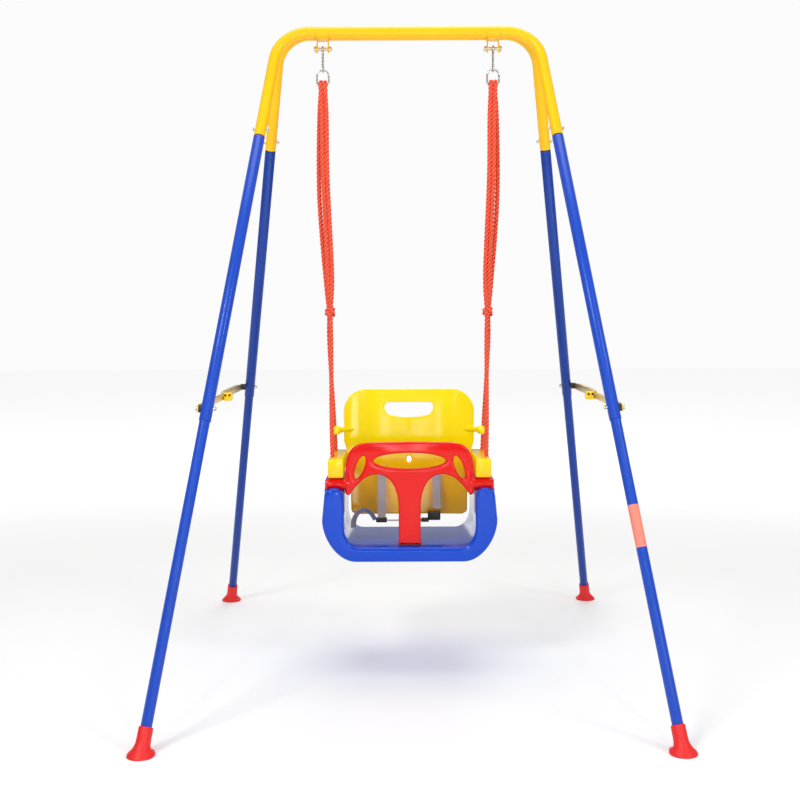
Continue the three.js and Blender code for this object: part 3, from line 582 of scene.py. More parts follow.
def ropeNodeShape():
    tree, given, result = newNodeShape("laidRope",
                                       [("Strand radius", "NodeSocketFloat"), ("Offset", "NodeSocketFloat"),
                                                    ("Pitch", "NodeSocketFloat"), ("Step", "NodeSocketFloat"),
                                                    ("Finish", "NodeSocketMaterial")])
    even = addNode(tree, "GeometryNodeResampleCurve", {"mode": "LENGTH"},
                   links={"Curve": given.outputs["Geometry"], "Length": given.outputs["Step"]})
    travelled = addNode(tree, "GeometryNodeSplineParameter")
    turns = addNode(tree, "ShaderNodeMath", {"operation": "DIVIDE"},
                    links={0: travelled.outputs["Length"], 1: given.outputs["Pitch"]})
    angle = addNode(tree, "ShaderNodeMath", {"operation": "MULTIPLY"}, {1: 2 * math.pi}, {0: turns.outputs[0]})
    normal = addNode(tree, "GeometryNodeInputNormal")
    tangent = addNode(tree, "GeometryNodeInputTangent")
    binormal = addNode(tree, "ShaderNodeVectorMath", {"operation": "CROSS_PRODUCT"},
                       links={0: tangent.outputs[0], 1: normal.outputs[0]})
    circle = addNode(tree, "GeometryNodeCurvePrimitiveCircle", values={"Resolution": 9},
                     links={"Radius": given.outputs["Strand radius"]})
    aroundProfile = addNode(tree, "GeometryNodeStoreNamedAttribute", {"data_type": "FLOAT", "domain": "POINT"},
                            {"Name": "around"},
                            {"Geometry": circle.outputs["Curve"], "Value": travelled.outputs["Factor"]})
    here = addNode(tree, "GeometryNodeInputPosition")
    cored = addNode(tree, "GeometryNodeStoreNamedAttribute", {"data_type": "FLOAT_VECTOR", "domain": "POINT"},
                    {"Name": "core"}, {"Geometry": even.outputs["Curve"], "Value": here.outputs[0]})
    core = addNode(tree, "GeometryNodeInputNamedAttribute", {"data_type": "FLOAT_VECTOR"}, {"Name": "core"})
    fromCore = addNode(tree, "ShaderNodeVectorMath", {"operation": "DISTANCE"},
                       links={0: here.outputs[0], 1: core.outputs["Attribute"]})
    gathered = addNode(tree, "GeometryNodeJoinGeometry")
    for strand in range(3):
        phase = addNode(tree, "ShaderNodeMath", {"operation": "ADD"}, {1: strand * 2 * math.pi / 3},
                        {0: angle.outputs[0]})
        cosine = addNode(tree, "ShaderNodeMath", {"operation": "COSINE"}, links={0: phase.outputs[0]})
        sine = addNode(tree, "ShaderNodeMath", {"operation": "SINE"}, links={0: phase.outputs[0]})
        outA = addNode(tree, "ShaderNodeVectorMath", {"operation": "SCALE"},
                       links={0: normal.outputs[0], "Scale": cosine.outputs[0]})
        outB = addNode(tree, "ShaderNodeVectorMath", {"operation": "SCALE"},
                       links={0: binormal.outputs[0], "Scale": sine.outputs[0]})
        both = addNode(tree, "ShaderNodeVectorMath", {"operation": "ADD"},
                       links={0: outA.outputs[0], 1: outB.outputs[0]})
        shift = addNode(tree, "ShaderNodeVectorMath", {"operation": "SCALE"},
                        links={0: both.outputs[0], "Scale": given.outputs["Offset"]})
        moved = addNode(tree, "GeometryNodeSetPosition",
                        links={"Geometry": cored.outputs["Geometry"], "Offset": shift.outputs[0]})
        marked = addNode(tree, "GeometryNodeStoreNamedAttribute", {"data_type": "FLOAT", "domain": "POINT"},
                         {"Name": "along"},
                         {"Geometry": moved.outputs["Geometry"], "Value": travelled.outputs["Length"]})
        skin = addNode(tree, "GeometryNodeCurveToMesh", values={"Fill Caps": True},
                       links={"Curve": marked.outputs["Geometry"],
                              "Profile Curve": aroundProfile.outputs["Geometry"]})
        tree.links.new(skin.outputs["Mesh"], gathered.inputs["Geometry"])
    proud = addNode(tree, "GeometryNodeStoreNamedAttribute", {"data_type": "FLOAT", "domain": "POINT"},
                    {"Name": "proud"},
                    {"Geometry": gathered.outputs["Geometry"], "Value": fromCore.outputs["Value"]})
    smooth = addNode(tree, "GeometryNodeSetShadeSmooth", links={"Geometry": proud.outputs["Geometry"]})
    real = addNode(tree, "GeometryNodeRealizeInstances", links={"Geometry": smooth.outputs["Geometry"]})
    coloured = addNode(tree, "GeometryNodeSetMaterial",
                       links={"Geometry": real.outputs["Geometry"], "Material": given.outputs["Finish"]})
    tree.links.new(coloured.outputs["Geometry"], result.inputs["Geometry"])
    return tree


ropeTree = ropeNodeShape()


def laidRopeMesh(route):
    source = polyCurve("ropeRoute", [([tuple(p) for p in route], False)])
    return grown(source, ropeTree, {"Strand radius": rope["radius"] * 0.5 * mm,
                                    "Offset": rope["radius"] * 0.52 * mm,
                                    "Pitch": rope["pitch"] * mm, "Step": 2.6 * mm, "Finish": finishes["rope"]})


def ropeRoutes(sign):
    low, hang, knotZ = rope["seatX"], rope["hangX"], rope["knotZ"]
    knotX = low + (hang - low) * 0.36

    def overRing(x):
        return [(x, y, z) for y, z in arcRun((0, rope["ringBendZ"]), rope["ringBend"], 180, 0, 4)]

    front = [(low, rope["frontY"], 440), (low, rope["frontY"], 503), (low + 2, -48, 570), (knotX - 3, -11, 770),
             (knotX - 2, -5, knotZ), (knotX - 6, -6, 900), (hang - 9, -8, 1150), (hang - 8, -9, 1290),
             *overRing(hang - 4.85),
             (hang - 4, 9, 1290), (hang - 2, 6, 1100), (knotX - 1, 5, 880), (knotX, 4, knotZ)]
    rear = [(low, rope["rearY"], 440), (low, rope["rearY"], 503), (low + 2, 58, 570), (knotX + 3, 13, 770),
            (knotX + 2, 5, knotZ), (knotX + 3, -5, 900), (hang + 1, -8, 1150), (hang + 2, -9, 1290),
            *overRing(hang + 4.85),
            (hang + 9, 9, 1290), (hang + 11, 5, 1100), (knotX + 7, 4, 880), (knotX + 2, 4, knotZ)]
    return {name: smoothRoute([(sign * x, y, z) for x, y, z in run]) for name,
            run in (("Front", front), ("Rear", rear))}, knotX


for side, sign in sideSigns.items():
    routes, knotX = ropeRoutes(sign)
    # the knot: two tight turns round the bundle
    knotRun = []
    for i in range(61):
        a = 2 * math.pi * 2.1 * i / 60
        knotRun.append(Vector((sign * knotX + 7.6 * math.cos(a), 7.2 * math.sin(a),
                               rope["knotZ"] - 7 + 14 * i / 60)))
    knot = finished(side + "Knot", laidRopeMesh(knotRun), "rope", "swing", [side + "_rope"])
    for which, route in routes.items():
        mesh = laidRopeMesh(route)
        piece = finished(side + which + "Rope", mesh, "rope", "swing", [side + "_rope"])
        print("rope", side, which, round(routeLength(route)), "mm")


stand = {"barHeight": 1470, "barOffset": 13.75, "tilt": 22.0, "cornerHalfWidth": 294, "footHalfWidth": 512,
         "bendRadius": 80,
         "upperTop": 269, "upperEnd": 927, "pivot": 900, "tubeRadius": 12.5, "lowerRadius": 11.0, "sides": 44}
legReach = stand["barHeight"] / math.cos(math.radians(stand["tilt"]))
legLean = (stand["footHalfWidth"] - stand["cornerHalfWidth"]) / legReach
legAngle = math.atan(legLean)


def onFrame(row, x, down):
    # a point of a side frame: x across, down along its tilted plane
    tilt = math.radians(stand["tilt"])
    return Vector((x, rowSigns[row] * (stand["barOffset"] + down * math.sin(tilt)),
                   stand["barHeight"] - down * math.cos(tilt)))


def legPoint(row, sign, down):
    return onFrame(row, sign * (stand["cornerHalfWidth"] + legLean * down), down)


def tubeNodeShape():
    tree, given, result = newNodeShape("roundTube", [("Radius", "NodeSocketFloat"), ("Sides", "NodeSocketInt"),
                                                     ("Finish", "NodeSocketMaterial")])
    circle = addNode(tree, "GeometryNodeCurvePrimitiveCircle",
                     links={"Resolution": given.outputs["Sides"], "Radius": given.outputs["Radius"]})
    skin = addNode(tree, "GeometryNodeCurveToMesh", values={"Fill Caps": True},
                   links={"Curve": given.outputs["Geometry"], "Profile Curve": circle.outputs["Curve"]})
    smooth = addNode(tree, "GeometryNodeSetShadeSmooth", links={"Geometry": skin.outputs["Mesh"]})
    real = addNode(tree, "GeometryNodeRealizeInstances", links={"Geometry": smooth.outputs["Geometry"]})
    coloured = addNode(tree, "GeometryNodeSetMaterial",
                       links={"Geometry": real.outputs["Geometry"], "Material": given.outputs["Finish"]})
    tree.links.new(coloured.outputs["Geometry"], result.inputs["Geometry"])
    return tree


tubeTree = tubeNodeShape()


def tubeMesh(runs, radius, finish, sides=40):
    source = polyCurve("tubeRun", [([tuple(p) for p in run], closed) for run, closed in runs])
    mesh = grown(source, tubeTree, {"Radius": radius * mm, "Sides": sides, "Finish": finishes[finish]})
    return tidied(mesh, 40)


def legRings(row, sign, profile, sides):
    # rings about a leg's own axis, from (distance down the leg, radius)
    axis = (legPoint(row, sign, 900) - legPoint(row, sign, 0)).normalized()
    across = axis.cross(Vector((0, 1, 0))).normalized()
    other = axis.cross(across)
    return [ringRound(legPoint(row, sign, down), across, other, radius, sides) for down, radius in profile]


def leggedMesh(row, profile):
    # the same spun shape on both legs, in one mesh
    return tidied(joinedMesh([ringsToMesh(legRings(row, sign, profile, stand["sides"])) for sign in (-1, 1)]),
                  40)


for row in rowSigns:
    body = row + "_frame"
    tangent = stand["bendRadius"] * math.tan((math.pi / 2 - legAngle) / 2)
    centre = (stand["cornerHalfWidth"] - tangent, -stand["bendRadius"])
    bend = [(x, -z) for x, z in arcRun(centre, stand["bendRadius"], 90, math.degrees(legAngle), 26)]
    down = stand["upperTop"]
    halfRun = [onFrame(row, x, d) for x, d in bend] + [legPoint(row, 1, down - 1.2)]
    wholeRun = [Vector((-p.x, p.y, p.z)) for p in reversed(halfRun)] + halfRun
    finished(row + "TopTube", tubeMesh([(wholeRun, False)], stand["tubeRadius"], "yellowTube", 48),
             "yellowTube", body, [row + "_top_tube"])
    # a rolled edge where each tube ends, and a black neck in the gap between yellow and blue, painted shade for
    # the shadow line at the joint
    end, wide, narrow = stand["upperEnd"], stand["tubeRadius"], stand["lowerRadius"]
    upper = [(down + 0.8, 10.9), (down + 0.9, 12.0), (down + 1.5, wide), (end - 1.0, wide), (end - 0.2, 12.2),
             (end, 11.1)]
    lower = [(end - 3, narrow), (legReach - 13, narrow), (legReach - 12.2, 10.6)]
    shadowNeck = [(down - 4, 10.7), (down + 2, 10.7)]
    legNames = [f"{row}_{side}_{part}_leg" for side in sideSigns for part in ("upper", "lower")]
    # the rear legs take the darker blue copy, which is painted shade on the same paint as the front legs
    blue = "blueTube" if row == "front" else "shadedBlueTube"
    finished(row + "UpperLegs", leggedMesh(row, upper), blue, body,
             [n for n in legNames if "upper" in n])
    finished(row + "LowerLegs", leggedMesh(row, lower), blue, body,
             [n for n in legNames if "lower" in n])
    finished(row + "Necks", leggedMesh(row, shadowNeck), "black", body)
print("tubes ready")

# each station: how far the ring has turned square to the leg, height, radius
rubberFoot = {"sides": 48, "stations": [(0, 0.0, 25.4), (0, 1.2, 26.8), (0, 4.0, 26.6), (0, 6.4, 25.2),
                                        (0.25, 8.6, 22.2),
                                        (0.55, 11.5, 18.8), (0.85, 15.5, 16.2), (1, 21, 14.6), (1, 30, 14.1),
                                        (1, 47.5, 14.0), (1, 49.4, 13.3), (1, 49.8, 11.2)]}
for row in rowSigns:
    meshes = []
    for sign in (-1, 1):
        sole = legPoint(row, sign, legReach)
        axis = (legPoint(row, sign, 0) - sole).normalized()
        rings = []
        for blend, height, radius in rubberFoot["stations"]:
            normal = (Vector((0, 0, 1)) * (1 - blend) + axis * blend).normalized()
            across = Vector((0, 1, 0)).cross(normal).normalized()
            centre = sole + axis * (height / axis.z)
            rings.append(ringRound(centre, across, normal.cross(across), radius, rubberFoot["sides"]))
        meshes.append(ringsToMesh(rings))
    finished(row + "Feet", tidied(joinedMesh(meshes), 50), "rubber", row + "_frame",
             [f"{row}_{side}_foot" for side in sideSigns])


def boltTemplate(inner, outer):
    # along +X from inner to outer: dome nut end, shank, hex head
    heads = hexMesh([(outer, outer + 3.6, 5.3), (inner - 3.6, inner, 5.3)], 0.55)
    shank = spunX([(inner - 5.0, 2.0), (inner - 4.6, 2.8), (outer, 2.9)], 20)
    dome = spunX([(outer + 3.5, 4.0), (outer + 3.9, 3.6), (outer + 4.0, 1.0)], 20)
    return placed("boltTemplate", tidied(joinedMesh([heads, shank, dome]), 30))


def setOutNodeShape():
    tree, given, result = newNodeShape("setOutOnPoints",
                                       [("Template", "NodeSocketObject"), ("Finish", "NodeSocketMaterial")])
    shape = addNode(tree, "GeometryNodeObjectInfo", links={"Object": given.outputs["Template"]})
    turnBy = addNode(tree, "GeometryNodeInputNamedAttribute", {"data_type": "FLOAT_VECTOR"}, {"Name": "turn"})
    many = addNode(tree, "GeometryNodeInstanceOnPoints",
                   links={"Points": given.outputs["Geometry"], "Instance": shape.outputs["Geometry"],
                                                                "Rotation": turnBy.outputs["Attribute"]})
    real = addNode(tree, "GeometryNodeRealizeInstances", links={"Geometry": many.outputs["Instances"]})
    coloured = addNode(tree, "GeometryNodeSetMaterial",
                       links={"Geometry": real.outputs["Geometry"], "Material": given.outputs["Finish"]})
    tree.links.new(coloured.outputs["Geometry"], result.inputs["Geometry"])
    return tree


setOutTree = setOutNodeShape()


def setOut(template, places, finish):
    # places: (point in mm, turn in radians)
    cloud = bpy.data.meshes.new("places")
    cloud.from_pydata([tuple(p * mm) for p, _ in places], [], [])
    attribute = cloud.attributes.new("turn", "FLOAT_VECTOR", "POINT")
    attribute.data.foreach_set("vector", [c for _, turnBy in places for c in turnBy])
    return grown(placed("places", cloud), setOutTree, {"Template": template, "Finish": finishes[finish]})


brace = {"thickness": 3.0, "halfHeight": 8.0, "standOff": 4.6, "flange": 8.0}
pivotX = stand["cornerHalfWidth"] + legLean * stand["pivot"]
legSkinX = pivotX + stand["tubeRadius"] * math.hypot(1, legLean)
linkFace = {"front": legSkinX + brace["standOff"],
            "rear": legSkinX + brace["standOff"] + brace["thickness"] + 0.4}
pivotAt = onFrame("rear", 0, stand["pivot"])
for row in rowSigns:
    jointReach = (-14.4, 14.4)
    pivotReach = (-stand["tubeRadius"] * math.hypot(1, legLean) - 1.6,
                  linkFace[row] + brace["thickness"] + 0.3 - pivotX)
    for kind, (inner, outer), down in (("joint", jointReach, stand["upperTop"] - 20),
                                       ("pivot", pivotReach, stand["pivot"])):
        template = boltTemplate(inner, outer)
        places = [(legPoint(row, sign, down), (0, 0, 0 if sign > 0 else math.pi)) for sign in (-1, 1)]
        mesh = tidied(setOut(template, places, "brightZinc"), 30)
        finished(f"{row}{kind.capitalize()}Bolts", mesh, "brightZinc", row + "_frame",
                 [f"{row}_{side}_{kind}_bolt" for side in sideSigns])
        bpy.data.objects.remove(template)
print("bolts ready")


def linkMesh(row, sign):
    # a pressed strip with round ends and one turned-up edge
    h, length = brace["halfHeight"], pivotAt.y
    direction = 1 if row == "front" else -1
    startY = -pivotAt.y if row == "front" else pivotAt.y
    outline = arcRun((0, 0), h, 90, 270, 14) + arcRun((length, 0), h, -90, 90, 14)
    x0, x1 = linkFace[row], linkFace[row] + brace["thickness"]
    shape = bmesh.new()
    face = shape.faces.new([shape.verts.new((sign * x0 * mm, (startY + direction * s) * mm,
                                             (pivotAt.z + z) * mm)) for s, z in outline])
    grownUp = bmesh.ops.extrude_face_region(shape, geom=[face])
    bmesh.ops.translate(shape, verts=[v for v in grownUp["geom"] if isinstance(v, bmesh.types.BMVert)],
                        vec=(sign * (x1 - x0) * mm, 0, 0))
    bmesh.ops.recalc_face_normals(shape, faces=shape.faces)
    rim = [e for e in shape.edges if e.is_manifold and e.calc_face_angle() > 1.2]
    bmesh.ops.bevel(shape, geom=rim, offset=0.5 * mm, segments=2, profile=0.5, affect="EDGES")
    plate = meshFrom(shape, "plate")
    y0, y1 = sorted((startY + direction * 42, startY + direction * (length - 46)))
    if row == "front":
        fx0, fx1 = x0 - brace["flange"], x0 + 1
    else:
        fx0, fx1 = x1 - 1, x1 + brace["flange"]
    fx0, fx1 = sorted((sign * fx0, sign * fx1))
    flange = blockMesh(fx0, fx1, y0, y1, pivotAt.z + h - 2.5, pivotAt.z + h, 0.8, 3)
    return tidied(joinedMesh([plate, flange]), 32)


for side, sign in sideSigns.items():
    for row in rowSigns:
        mesh = linkMesh(row, sign)
        if row == "rear":
            rivet = spunX([(linkFace["rear"] + 2.6, 5.0), (linkFace["rear"] + 5.2, 5.0),
                           (linkFace["rear"] + 6.0, 4.2), (linkFace["rear"] + 6.3, 1.5)], 24)
            rivet.transform(Matrix.Diagonal((sign, 1, 1, 1)))
            rivet.transform(Matrix.Translation((0, 0, pivotAt.z * mm)))
            mesh = joinedMesh([mesh, tidied(rivet)])
            mesh = tidied(mesh, 32)
        finished(f"{side}{row.capitalize()}Link", mesh, "zinc", f"{side}_{row}_link",
                 [f"{row}_{side}_link"])
    outerX = linkFace["front"] - 0.4
    x0, x1 = sorted((sign * (outerX - 19.8), sign * outerX))
    body = blockMesh(x0, x1, -13.8, 13.8, pivotAt.z - 9.8, pivotAt.z + 9.8, 3.4, 4)
    finished(side + "BraceLock", tidied(body, 40), "yellowFitting", f"{side}_front_link",
             [side + "_brace_lock"])
    # two countersunk screws on the lock's front face
    screw = spunX([(0, 0.1), (0.0, 2.9), (0.5, 2.7), (0.2, 1.2)], 24)
    screwTemplate = placed("screwTemplate", tidied(screw, 30))
    places = [(Vector((sign * (outerX - inset), -13.9, pivotAt.z + 3.5)), (0, 0, -math.pi / 2))
              for inset in (5, 14.5)]
    finished(side + "LockScrews", tidied(setOut(screwTemplate, places, "black"), 30), "black",
             f"{side}_front_link")
    bpy.data.objects.remove(screwTemplate)
for row in rowSigns:
    for side in sideSigns:
        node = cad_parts[f"{row}_{side}_spacer"]
        node.data.materials.clear()
        node.data.materials.append(finishes["black"])
print("braces ready")


def smoothedNode(nodeName, rounding):
    # the CAD node's own shape, merged, with its hard edges eased
    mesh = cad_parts[nodeName].data.copy()
    shape = bmesh.new()
    shape.from_mesh(mesh)
    bmesh.ops.remove_doubles(shape, verts=shape.verts, dist=0.00002)
    bmesh.ops.dissolve_limit(shape, angle_limit=math.radians(1), verts=shape.verts, edges=shape.edges)
    shape.to_mesh(mesh)
    shape.free()
    holder = placed("easing", mesh)
    ease = holder.modifiers.new("ease", "BEVEL")
    ease.width = rounding * mm
    ease.segments = 2
    ease.limit_method = "ANGLE"
    ease.angle_limit = math.radians(50)
    bpy.context.view_layer.update()
    made = settledMesh(holder)
    made.shade_smooth()
    made.set_sharp_from_angle(angle=math.radians(35))
    return made


hangerBolt = {"earHalf": 14.0}
snapHook = {"wire": 2.0, "halfWidth": 9.0, "length": 58.0, "top": 6.3, "gateLow": 16, "gateHigh": 44,
            "gateWire": 1.75, "boltZ": 1435}
wireRing = {"wire": 2.0, "radius": 13.6, "straight": 12.0}
for side, sign in sideSigns.items():
    finished(side + "HangerBracket", smoothedNode(side + "_hanger_bracket", 0.5), "yellowTube", "front_frame",
             [side + "_hanger_bracket"])
    ear = hangerBolt["earHalf"]
    parts = [spunX([(-ear - 7.9, 2.4), (-ear - 7.6, 3.6), (-ear, 3.9), (ear, 3.9), (ear + 2, 3.9)], 28),
             spunX([(ear + 0.3, 4.0), (ear + 0.3, 7.6), (ear + 0.7, 8.0), (ear + 1.7, 8.0), (ear + 2.1, 7.6),
                    (ear + 2.1, 4.0)], 36),
             spunX([(-ear - 2.0, 4.0), (-ear - 2.0, 6.7), (-ear - 1.6, 7.0), (-ear - 0.7, 7.0),
                    (-ear - 0.3, 6.7), (-ear - 0.3, 4.0)], 36)]
    hexes = hexMesh([(ear + 1.9, ear + 6.3, 6.4), (-ear - 6.8, -ear - 1.8, 5.9)], 0.6)
    boltMesh = joinedMesh(parts + [hexes])
    boltMesh.transform(Matrix.Translation((sign * rope["hangX"] * mm, 0, snapHook["boltZ"] * mm))
                       @ Matrix.Diagonal((sign, 1, 1, 1)))
    finished(side + "HangerBolt", tidied(boltMesh, 30), "brightZinc", "front_frame",
             [side + "_hanger_bolt"])

    x = sign * rope["hangX"]
    r = snapHook["halfWidth"]
    top = snapHook["boltZ"] + snapHook["top"]
    bottom = top - snapHook["length"]
    hookTop = arcRun((0, top - r), r, 0, 180, 24)
    hookRun = [(-r, bottom + snapHook["gateLow"])] + arcRun((0, bottom + r), r, 180, 360, 24) + hookTop
    hookRun.append((-r, bottom + snapHook["gateHigh"]))
    hookMesh = tubeMesh([([(x, y, z) for y, z in hookRun], False)], snapHook["wire"], "wire", 18)
    finished(side + "SnapHook", hookMesh, "wire", "swing", [side + "_carabiner"])
    gateRun = [(x, -r, bottom + snapHook["gateLow"] + 1.2), (x, -r, bottom + snapHook["gateHigh"] - 0.8)]
    gateMesh = tubeMesh([(gateRun, False)], snapHook["gateWire"], "wire", 18)
    finished(side + "SnapGate", gateMesh, "wire", side + "_gate", [side + "_carabiner_gate"])
    ringTop = bottom + 2 * snapHook["wire"] + 0.3
    high = ringTop - wireRing["radius"]
    low = high - wireRing["straight"]
    ringTopHalf = arcRun((0, high), wireRing["radius"], 0, 180, 30)
    ringRun = ringTopHalf + arcRun((0, low), wireRing["radius"], 180, 360, 30)
    ringMesh = tubeMesh([([(x + a, 0, z) for a, z in ringRun], True)], wireRing["wire"], "wire", 18)
    finished(side + "Ring", ringMesh, "wire", "swing", [side + "_ring"])
print("hangers ready")

shell = {"halfWidth": 199, "front": -130, "rear": 140, "under": 266, "pan": 300, "wall": 149.5, "armFront": 435,
         "armBack": 454, "grooveY": -100, "grooveZ": 442, "frontBlock": 15}


def shellOutline(armTop, topRadius):
    outer, topOuter, inner = shell["halfWidth"], shell["halfWidth"] - 5, shell["wall"]
    r = min(topRadius, (topOuter - inner) / 2)
    half = [(0, shell["pan"]), (112, shell["pan"])]
    half += bezierRun((112, shell["pan"]), (136, shell["pan"]), (inner, 322), (inner, 348), 16)
    half += [(inner, armTop - r)]
    half += arcRun((inner + r, armTop - r), r, 180, 90, 12)[1:]
    half += arcRun((topOuter - r, armTop - r), r, 90, 0, 12)[1:]
    half += [(outer, 362)]
    half += bezierRun((outer, 362), (outer, 320), (165, shell["under"]), (122, shell["under"]), 22)
    half += [(0, shell["under"])]
    return mirroredOutline(half)


splitY = shell["grooveY"] + shell["frontBlock"]
frontShell = extrudedOutline([shellOutline(shell["armFront"], 21.5)], shell["front"], splitY + 20, 9, 5)
backShell = extrudedOutline([shellOutline(shell["armBack"], 9)], splitY, shell["rear"], 5, 4)
cutters = []
for sign in (-1, 1):
    trough = spunX([(138, 13.6), (212, 13.6)], 40)
    trough.transform(Matrix.Translation((0, shell["grooveY"] * mm, shell["grooveZ"] * mm))
                     @ Matrix.Diagonal((sign, 1, 1, 1)))
    cutters.append(tidied(trough))
shellMesh = booleanMesh(booleanMesh(frontShell, [backShell], "UNION"), cutters)
finished("seatShell", tidied(shellMesh, 30), "blueMoulding", "swing", ["seat_shell"])
print("shell ready", len(shellMesh.polygons))


def ovalRun(x, z, halfWidth, halfHeight, lean, count=40):
    run = []
    for i in range(count):
        a = 2 * math.pi * i / count
        u, v = halfWidth * math.cos(a), halfHeight * math.sin(a)
        run.append((x + u * math.cos(lean) - v * math.sin(lean), z + u * math.sin(lean) + v * math.cos(lean)))
    return run


guard = {"y": -100, "z": 442, "thickness": 22, "rounding": 5,
         "barrel": [(136, 8), (137, 12.2), (139, 13), (186, 13), (189.5, 12.2), (191.4, 10), (192, 6)]}
half = [(0, 538.5), (86, 537)]
half += bezierRun((86, 537), (128, 536), (143, 522), (146, 474), 18)
half += [(147.5, 440)]
half += bezierRun((147.5, 440), (149, 424), (144, 415), (137, 417), 8)
half += bezierRun((137, 417), (122, 438), (104, 464), (75, 464), 16)
half += bezierRun((75, 464), (44, 464), (26, 434), (25, 390), 18)
half += [(25, 318), (25.4, 310), (27, 304.5), (26, 302.4), (0, 302.4)]
guardHoles = [ovalRun(0, 495, 82, 18, 0, 64), ovalRun(-113, 480, 9.5, 28, -0.36),
              ovalRun(113, 480, 9.5, 28, 0.36)]
guardPlate = extrudedOutline([mirroredOutline(half)] + guardHoles, guard["y"] - guard["thickness"] / 2,
                             guard["y"] + guard["thickness"] / 2, guard["rounding"], 5)
barrels = []
for sign in (-1, 1):
    barrel = spunX(guard["barrel"], 44)
    barrel.transform(Matrix.Translation((0, guard["y"] * mm, guard["z"] * mm))
                     @ Matrix.Diagonal((sign, 1, 1, 1)))
    barrels.append(tidied(barrel))
guardMesh = booleanMesh(guardPlate, barrels, "UNION")
finished("guardBar", tidied(guardMesh, 34), "redMoulding", "guard", ["guard_bar"])
print("guard ready", len(guardMesh.polygons))

backrest = {"middleY": 80, "thickness": 13, "recline": 4.0, "armLow": 456.5, "armHigh": 499,
            "armInner": 150, "armOuter": 186, "armFront": -114, "armRear": 94}
edgePeg = {"x": 156, "y": 68, "z": 549, "splay": 0.62,
           "profile": [(-25, 5.0), (-24, 6.6), (7, 6.4), (11, 7.0), (14, 9.2), (18, 10.7), (22, 10.9),
                       (26, 10.0), (29, 7.6), (31, 4.2), (31.8, 1.0)]}
half = arcRun((103, 592), 54, 90, 0, 18)
half += [(157, 520), (142, 470), (140, 354)]
half += [(137, 348), (128, 343)]
backOutline = mirroredOutline([(0, 646)] + half)
handle = [(-48, 614), *bezierRun((-48, 614), (-63, 614), (-63, 590), (-46, 583)),
          *bezierRun((-46, 583), (-24, 576), (24, 576), (46, 583)),
          *bezierRun((46, 583), (63, 590), (63, 614), (48, 614))]
slots = [[(s * 66 - 12, 447.5), (s * 66 + 12, 447.5), (s * 66 + 12, 457.5), (s * 66 - 12, 457.5)]
         for s in (-1, 1)]
panel = extrudedOutline([backOutline, handle, ovalRun(0, 476, 6, 8, 0, 24)] + slots,
                        -backrest["thickness"] / 2, backrest["thickness"] / 2, 2.6, 4)
shape = bmesh.new()
shape.from_mesh(panel)
for i in range(-19, 20):
    # cut across so that the flat panel can bend
    geom = shape.verts[:] + shape.edges[:] + shape.faces[:]
    bmesh.ops.bisect_plane(shape, geom=geom, plane_co=(i * 8 * mm, 0, 0), plane_no=(1, 0, 0))
leftCurve = bezierRun((-160, 60), (-120, 80), (-80, 80), (0, 80), 40)
rightCurve = bezierRun((0, 80), (80, 80), (120, 80), (160, 60), 40)
curveRun = [(-160.0, 60.0)] + leftCurve + rightCurve


def dishY(x):
    for (x0, y0), (x1, y1) in zip(curveRun, curveRun[1:]):
        if x0 <= x <= x1:
            return y0 + (y1 - y0) * (x - x0) / (x1 - x0)
    return 60.0


lean = math.radians(-backrest["recline"])
for v in shape.verts:
    x, depth, z = (c / mm for c in v.co)
    y = dishY(max(-159.9, min(159.9, x)))
    y += backrest["thickness"] / 2 + depth
    dy, dz = y - backrest["middleY"], z - backrest["armLow"]
    v.co = Vector((x, backrest["middleY"] + dy * math.cos(lean) - dz * math.sin(lean),
                   backrest["armLow"] + dy * math.sin(lean) + dz * math.cos(lean))) * mm
shape.to_mesh(panel)
shape.free()
backParts = [panel]
for sign in (-1, 1):
    x0, x1 = sorted((sign * backrest["armInner"], sign * backrest["armOuter"]))
    backParts.append(blockMesh(x0, x1, backrest["armFront"], backrest["armRear"], backrest["armLow"],
                               backrest["armHigh"], 5.5, 5))
    b0, b1 = sorted((sign * 131, sign * 158))
    backParts.append(blockMesh(b0, b1, 67, 85, backrest["armLow"] + 2.5, backrest["armHigh"] - 2.5, 3, 3))
    # a ball-ended peg on each edge
    peg = spunX(edgePeg["profile"], 32)
    pegPlace = Matrix.Translation(Vector((sign * edgePeg["x"], edgePeg["y"], edgePeg["z"])) * mm)
    peg.transform(pegPlace @ Matrix.Rotation(-sign * edgePeg["splay"], 4, "Z")
                  @ Matrix.Diagonal((sign, 1, 1, 1)))
    backParts.append(peg)
backMesh = tidied(joinedMesh(backParts), 34)
finished("backrestPanel", backMesh, "yellowMoulding", "swing", ["backrest"])
print("backrest ready", len(backMesh.polygons))


